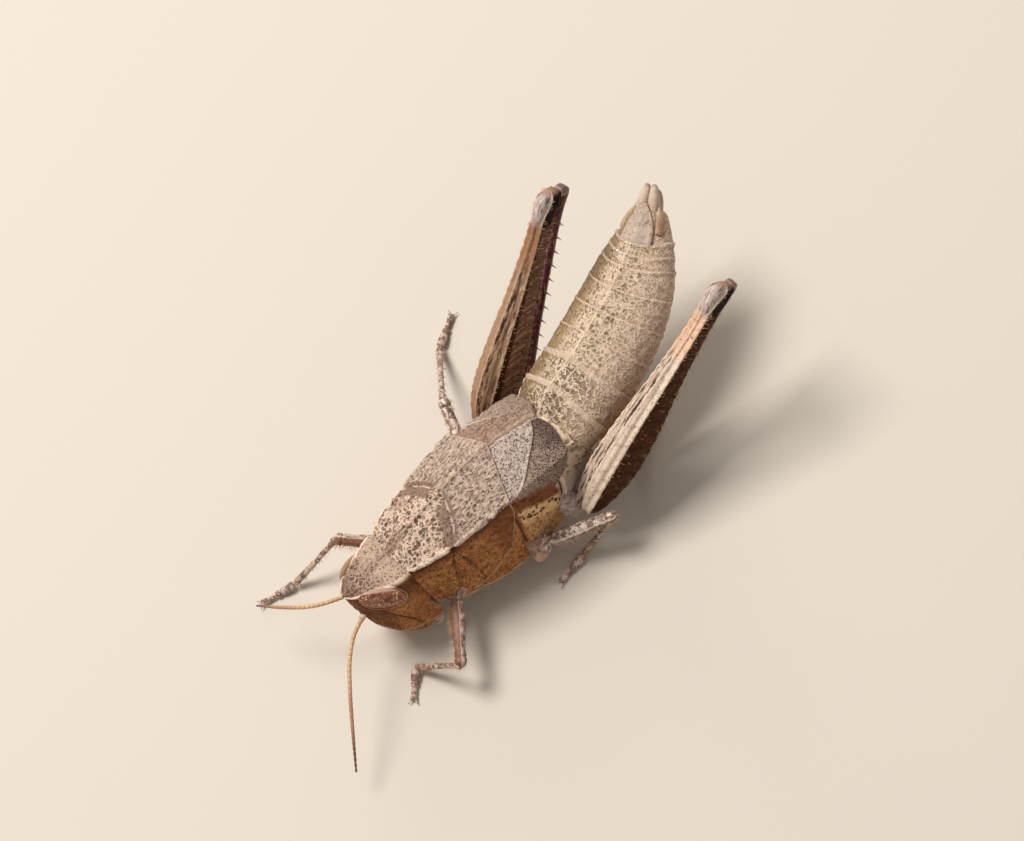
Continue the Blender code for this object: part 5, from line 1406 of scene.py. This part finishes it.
DOWN = lying((0, 0, -1))
HIND_FOOT_RADIUS, HIND_FOOT_LENGTH = 0.33, 3.85
for name, side, tuck, heading in (("left", 1, (0.35, 0.6), (-0.5, 0.87, 0.0)),
                                  ("right", -1, (0.0, 0.0), (-0.12, 0.99, 0.0))):
    hip, knee = HIPS[name], KNEES[name]
    axis = knee - hip
    length = np.linalg.norm(axis)
    axis = axis / length
    under = unit(DOWN - axis * (axis @ DOWN))
    out = np.cross(axis, under)
    out *= np.sign(out[0]) * side
    form = limb_form([hip, hip + axis * length / 3, hip + axis * length * 2 / 3, knee], FEMUR_WIDTH, FEMUR_DEPTH, out,
                     0.8, hind_femur_relief, cap=0.02)
    put(f"hind_femur_{name}", 130, 230, form, femur_coats[name], "hind_leg_cuticle", f"hind_{name}_femur")

    fold = hip + axis * length * 0.975 + under * 1.5 - out * tuck[0]
    ankle = hip + axis * length * 0.13 + under * 3.7 - out * tuck[1]
    bend = knee - axis * 0.55 + under * 0.35 - out * 0.5 * tuck[0]
    shin = [bend, fold - axis * 0.25 + under * 0.15, fold + (ankle - fold) * 0.12, fold + (ankle - fold) * 0.5, ankle]
    slim = ((0, 0.28), (0.06, 0.36), (0.12, 0.33), (0.3, 0.24), (0.75, 0.25), (0.94, 0.34), (1, 0.26))
    form = limb_form(shin, slim, slim, out, 0.9, lambda share, turn, along: (0.05 * hump(np.abs(turn) - 2.5, 0.2), {}),
                     cap=0.02)
    put(f"hind_shin_{name}", 40, 150, form, shin_coat, "shin_cuticle", f"hind_{name}_tibia")
    down = unit(ankle - fold)
    roots, aims, lengths = [], [], []
    for share in np.linspace(0.2, 0.93, 11):
        for edge in (1, -1):
            root = fold + (ankle - fold) * (share + 0.02 * edge) + under * 0.17 + out * edge * 0.15
            roots.append(root)
            aims.append(under * 0.9 + out * edge * 0.45 + down * 0.75)
            lengths.append(0.5 + 0.15 * share)
    for edge, drop in ((1, 0.3), (-1, 0.3), (1, -0.6), (-1, -0.6)):
        roots.append(ankle - down * 0.12 + out * edge * 0.2 + under * 0.1 * np.sign(drop))
        aims.append(down * 0.9 + out * edge * 0.5 + under * drop)
        lengths.append(0.75)
    thorns(f"shin_spines_{name}", roots, aims, lengths, 0.075, spine_coat, "shin_cuticle")

    back = unit(heading)
    heel = leaning(ankle) - [0, 0, 0.2]
    toe = heel + back * HIND_FOOT_LENGTH
    put(f"hind_foot_{name}", 36, 90, foot_form(heel, toe, HIND_FOOT_RADIUS, lying((side, 0, 0))), hind_foot_coat,
        "leg_cuticle", f"hind_{name}_tarsus")
    claws(f"hind_claws_{name}", heel, toe, HIND_FOOT_RADIUS, spine_coat)

    inner = np.array([side * 1.5, hip[1] - 0.7, -5.6])
    outer = hip + [-side * 0.3, -0.15, -0.1]
    form = limb_form([inner, inner + (outer - inner) * 0.5, outer], ((0, 0.95), (0.4, 0.95), (0.75, 0.8), (1, 0.55)),
                     ((0, 1.1), (0.4, 1.05), (0.75, 0.9), (1, 0.6)), (0, 1, 0),
                     relief=lambda share, turn, along: (-0.1 * hump(share - 0.62, 0.04) + 0.05 * np.sin(turn * 3), {}),
                     cap=0.1)
    put(f"hind_hip_{name}", 48, 40, form, coxa_coat, "flank_cuticle", f"hind_{name}_coxa")


# ---- Walking legs ---------------------------------------------------------------------------------------------
# The two front pairs, slender and alike: a ridged femur marbled white and brown above and reddish in front, a thin
# shin with a few spines, and a three-jointed foot that ends in two claws.

WALKING = {
    "fore_left": ((1.6, -10.0, -5.9), (6.3, -13.2, -6.5), (4.35, -15.2, 0.45), (5.9, -16.7, 0.2)),
    "fore_right": ((-1.6, -10.3, -5.6), (-5.2, -13.94, -4.2), (-5.05, -17.45, 0.45), (-5.6, -19.9, 0.2)),
    "mid_left": ((2.8, -5.3, -6.8), (5.6, -0.14, -5.75), (5.75, -2.9, 0.45), (6.1, -5.3, 0.2)),
    "mid_right": ((-2.0, -5.4, -6.0), (-7.55, -3.35, -3.5), (-11.0, -1.2, 0.45), (-12.4, 0.9, 0.2)),
}
WALKING_FOOT_RADIUS = 0.27
THIGH_DEPTH = ((0, 1.05), (0.1, 1.0), (0.2, 0.64), (0.26, 0.42), (0.42, 0.5), (0.6, 0.46), (0.8, 0.36), (0.93, 0.4),
               (1, 0.3))
THIGH_WIDTH = tuple((share, size * 0.85) for share, size in THIGH_DEPTH)
SHIN_SIZE = ((0, 0.24), (0.05, 0.26), (0.14, 0.18), (0.5, 0.18), (0.9, 0.21), (1, 0.18))


def walking_relief(share, turn, along):
    """Four low edges along the femur, a narrow hip joint and lobes at the knee."""
    lift = 0.05 * hump(np.sin(2 * turn - 1.57) - 1, 0.25) * ramp(share, 0.2, 0.3)
    lift = lift - 0.14 * hump(share - 0.24, 0.02) - 0.08 * hump(share - 0.13, 0.012) - 0.07 * hump(share - 0.9, 0.012)
    return lift, {}


def walking_finish(name, red_face, flakes):
    """White flakes on the upper faces, red-brown faces in front, pale lines across the knee."""
    coat = leg_finish(name, (0.13, 0.072, 0.05), (0.34, 0.215, 0.16), flakes)
    lengthwise = coat.drawn("out", "along", 0.5)
    coat.lay(coat.blotches(2.6, 0.55, 0.05, spot=lengthwise), (0.13, 0.07, 0.05), 0.8)
    face = coat.from_to("out", red_face, red_face + 0.12)
    coat.lay(coat.both(face, coat.from_to("share", 0.2, 0.3)), (0.2, 0.07, 0.034), 0.85)
    coat.lay(coat.band("out", 0.07, 0.04, wander=0.05, at=red_face), (0.8, 0.66, 0.55), 0.6)
    rings = sums(coat.tree, "SINE", sums(coat.tree, "MULTIPLY", coat.mark("along"), 30.0))
    hip = coat.from_to("share", 0.2, 0.16)
    coat.lay(hip, (0.56, 0.36, 0.24), 0.85)
    coat.lay(coat.both(hip, coat.blotches(1.8, 0.5, 0.12)), (0.2, 0.09, 0.045), 0.7)
    coat.lay(coat.both(coat.from_to(rings, 0.3, 0.9), hip, coat.blotches(1.2, 0.5, 0.2)), (0.86, 0.68, 0.54), 0.75)
    return coat.done()


walking_coats = {"fore": walking_finish("fore_leg_cuticle", 0.5, (0.6, 0.47, 0.39)),
                 "mid": walking_finish("mid_leg_cuticle", 0.92, (0.84, 0.7, 0.6))}
walking_shin_coat = leg_finish("walking_shin_cuticle", (0.1, 0.05, 0.045), (0.28, 0.16, 0.12), (0.64, 0.5, 0.41)).done()
for name, (hip, knee, ankle, toe) in WALKING.items():
    hip, knee = np.array(hip), np.array(knee)
    ground = on_floor(*ankle)
    out = unit(np.cross(knee - hip, ground - knee))
    out *= np.sign(-out[1])
    form = limb_form([hip, hip + (knee - hip) / 2, knee], THIGH_WIDTH, THIGH_DEPTH, out, 0.85, walking_relief, cap=0.04)
    put(f"{name}_thigh", 56, 110, form, walking_coats[name.split("_")[0]], "leg_cuticle", f"{name}_femur")
    drop = unit(ground - knee)
    start = knee - unit(knee - hip) * 0.12 - drop * 0.05
    shin = [start, start + (ground - start) * 0.5 + out * 0.03, ground]
    put(f"{name}_shin", 32, 70, limb_form(shin, SHIN_SIZE, SHIN_SIZE, out, cap=0.03), walking_shin_coat, "leg_cuticle",
        f"{name}_tibia")
    under = unit(-(knee - hip) + drop * ((knee - hip) @ drop))
    roots, aims, lengths = [], [], []
    for share in (0.45, 0.6, 0.75, 0.9, 0.98):
        for edge in (1, -1):
            roots.append(start + (ground - start) * share + under * 0.1 + out * edge * 0.1)
            aims.append(under * 0.8 + out * edge * 0.5 + drop * 0.8)
            lengths.append(0.3)
    thorns(f"{name}_spines", roots, aims, lengths, 0.04, spine_coat, "leg_cuticle")
    away = unit(np.array(toe) - ankle)
    heel = np.array(ankle) + away * 0.05
    end = np.array(toe) - away * 0.12
    side_flat = lying(np.cross(away, (0, 0, 1)))
    put(f"{name}_foot", 30, 70, foot_form(heel, end, WALKING_FOOT_RADIUS, side_flat), walking_shin_coat, "leg_cuticle",
        f"{name}_tarsus")
    claws(f"{name}_claws", heel, end, WALKING_FOOT_RADIUS, spine_coat)


# ---- Hairs ----------------------------------------------------------------------------------------------------
# Fine golden bristles that stand thinly out of the cuticle: on the outer faces of the hind femora, along the undersides
# of the walking legs, on the sills of the thorax, the cheeks and the tail. Each coat is one joined mesh.

HAIR_RADIUS = 0.014
hair_coat = Cuticle("golden_hair", (0.62, 0.4, 0.18), 0.45, 0.3)
hair_coat.lay(hair_coat.from_to("share", 0.5, 1.0), (0.8, 0.6, 0.34), 0.7)
hair_coat = hair_coat.done()


def hairs(name, skin, wanted, count, length, lie, seed):
    """Hairs rooted on the points of a plate that wanted picks out, leaning from its normal towards lie."""
    mesh = bpy.data.objects[skin].data
    points, normals = read(mesh, "points", 3), read(mesh, "normals", 3)
    across, along = read(mesh, "unwrap_u"), read(mesh, "unwrap_v")
    share = np.clip(wanted(lambda label: read(mesh, label)), 0, None)
    chance = np.random.default_rng(seed)
    lean = leaning(lie) - leaning((0, 0, 0))
    builder = bmesh.new()
    patch = builder.loops.layers.uv.new("OFBake")
    tall_share = builder.verts.layers.float.new("share")
    for root in chance.choice(len(points), count, p=share / share.sum()):
        aim = unit(normals[root] + lean + chance.normal(size=3) * 0.22)
        aside = unit(np.cross(aim, (0.3, 0.2, 1.0)))
        tall = length * chance.uniform(0.6, 1.25)
        for vert in bmesh.ops.create_cone(builder, cap_ends=True, segments=3, radius1=1.0, radius2=0.3,
                                          depth=1.0)["verts"]:
            x, y, up = vert.co.x, vert.co.y, vert.co.z + 0.5
            for loop in vert.link_loops:
                loop[patch].uv = (across[root] + 0.0015 * x, along[root] + 0.0015 * y)
            vert[tall_share] = up
            bend = np.array([0.0, 0.0, -0.18 * up * up])
            thick = (aside * x + np.cross(aim, aside) * y) * HAIR_RADIUS
            vert.co = points[root] + (thick + (aim * (up - 0.08) + bend) * tall) * 0.001
    bmesh.ops.recalc_face_normals(builder, faces=builder.faces)
    coat = bpy.data.meshes.new(name)
    builder.to_mesh(coat)
    builder.free()
    place(name, coat, hair_coat, None)


def upon(share, start, end):
    """1 between two shares, fading at both."""
    return ramp(share, start, start + 0.04) * ramp(share, end + 0.04, end)


for number, (side, out) in enumerate((("left", 1.0), ("right", -1.0))):
    hairs(f"femur_hair_{side}", f"hind_femur_{side}",
          lambda mark: (upon(mark("share"), 0.08, 0.86) * ramp(np.abs(mark("out")), 0.55, 0.8)
                        * (0.3 + ramp(mark("top"), 0.2, -0.4))),
          420, 0.3, (0.2 * out, 0.6, 0.2), 60 + number)
    hairs(f"femur_edge_hair_{side}", f"hind_femur_{side}",
          lambda mark: upon(mark("share"), 0.05, 0.97) * (hump(mark("outer"), 0.12) + hump(mark("inner"), 0.12)),
          260, 0.16, (0.0, 0.5, 0.3), 62 + number)
    hairs(f"shin_hair_{side}", f"hind_shin_{side}", lambda mark: upon(mark("share"), 0.1, 0.98), 160, 0.22,
          (0, -0.6, -0.4), 64 + number)
for number, name in enumerate(WALKING):
    hairs(f"{name}_thigh_hair", f"{name}_thigh",
          lambda mark: upon(mark("share"), 0.26, 0.98) * ramp(mark("top"), 0.3, -0.5),
          150, 0.36, (0.0, 0.0, -0.6), 70 + number)
    hairs(f"{name}_shin_hair", f"{name}_shin", lambda mark: upon(mark("share"), 0.08, 0.98), 90, 0.26, (0.0, 0.0, -0.5),
          74 + number)
hairs("sill_hair", "thorax_plates", lambda mark: hump(mark("around") - 2.06, 0.09), 260, 0.38, (0.0, -0.2, -0.7), 80)
hairs("lobe_hair", "pronotum_saddle", lambda mark: ramp(mark("ridge"), 1.6, 3.2), 200, 0.16, (0.0, -0.3, -0.8), 81)
hairs("face_hair", "head_capsule", lambda mark: upon(mark("around"), 0.45, 0.92) * ramp(mark("height"), -3.2, -4.6),
      220, 0.16, (0.0, -0.2, -0.8), 82)
hairs("tail_hair", "tail_shield", lambda mark: mark("run") + 0.2, 60, 0.16, (0.0, 0.7, 0.2), 83)


# ---- Stage ----------------------------------------------------------------------------------------------------
# A plain pale floor under the animal, a broad soft light overhead with a weaker one low behind on the right, and a long
# lens high on its left side.

VIEW_TURN, VIEW_HEIGHT, VIEW_ROLL = (math.radians(angle) for angle in (-7.0, 56.0, -34.19))
LEVEL = np.array([-math.sin(VIEW_TURN), math.cos(VIEW_TURN), 0.0])
VIEW_BACK = np.array([LEVEL[1] * math.cos(VIEW_HEIGHT), -LEVEL[0] * math.cos(VIEW_HEIGHT), math.sin(VIEW_HEIGHT)])
VIEW_RIGHT = math.cos(VIEW_ROLL) * LEVEL + math.sin(VIEW_ROLL) * np.cross(VIEW_BACK, LEVEL)
VIEW_UP = np.cross(VIEW_BACK, VIEW_RIGHT)
FRAME_WIDTH, LENS, SENSOR = 61.43, 220.0, 36.0
LAMP_DISTANCE, FLOOR_HALF_SIZE = 420.0, 0.6


def on_stage(name, data):
    """Put a light, a camera or the floor into the scene."""
    made = bpy.data.objects.new(name, data)
    bpy.context.scene.collection.objects.link(made)
    return made


def look_from(item, place_mm, back, up):
    """Set an item at a place, facing against back, with that direction upwards."""
    back, up = (leaning(vector) - leaning((0, 0, 0)) for vector in (back, up))
    right = np.cross(up, back)
    matrix = np.eye(4)
    matrix[:3, :3] = np.stack([unit(right), up, back], axis=1)
    matrix[:3, 3] = stand(place_mm)
    item.matrix_world = matrix.T.tolist()


floor_builder = bmesh.new()
bmesh.ops.create_grid(floor_builder, x_segments=1, y_segments=1, size=FLOOR_HALF_SIZE)
floor_mesh = bpy.data.meshes.new("floor")
floor_builder.to_mesh(floor_mesh)
floor_builder.free()
floor = on_stage("floor", floor_mesh)
floor_coat = bpy.data.materials.new("floor_paint")
floor_coat.use_nodes = True
floor_shader = floor_coat.node_tree.nodes["Principled BSDF"].inputs
floor_shader["Base Color"].default_value = (0.7, 0.635, 0.56, 1.0)
floor_shader["Roughness"].default_value = 0.85
floor_mesh.materials.append(floor_coat)

world = bpy.data.worlds.new("studio")
world.use_nodes = True
sky = world.node_tree.nodes["Background"].inputs
sky["Color"].default_value = (1.0, 0.96, 0.9, 1.0)
sky["Strength"].default_value = 0.32
bpy.context.scene.world = world

for name, back, power, size in (("sky_panel", (-0.25, -0.15, 1.0), 1.75, 0.16),
                                ("side_panel", (-0.9, 0.5, 0.6), 0.25, 0.15)):
    lamp = bpy.data.lights.new(name, "AREA")
    lamp.size = size
    lamp.energy = power
    lamp.color = (1.0, 0.965, 0.92)
    back = unit(back)
    sideways = unit(np.cross((0.0, 1.0, 0.0), back))
    look_from(on_stage(name, lamp), back * LAMP_DISTANCE, back, np.cross(back, sideways))

camera_data = bpy.data.cameras.new("camera")
camera_data.lens = LENS
camera_data.sensor_width = SENSOR
camera_data.clip_start = 0.01
camera = on_stage("camera", camera_data)
look_from(camera, -1.44 * VIEW_RIGHT - 0.51 * VIEW_UP + VIEW_BACK * FRAME_WIDTH * LENS / SENSOR, VIEW_BACK, VIEW_UP)
bpy.context.scene.camera = camera
bpy.context.scene.view_settings.view_transform = "Standard"
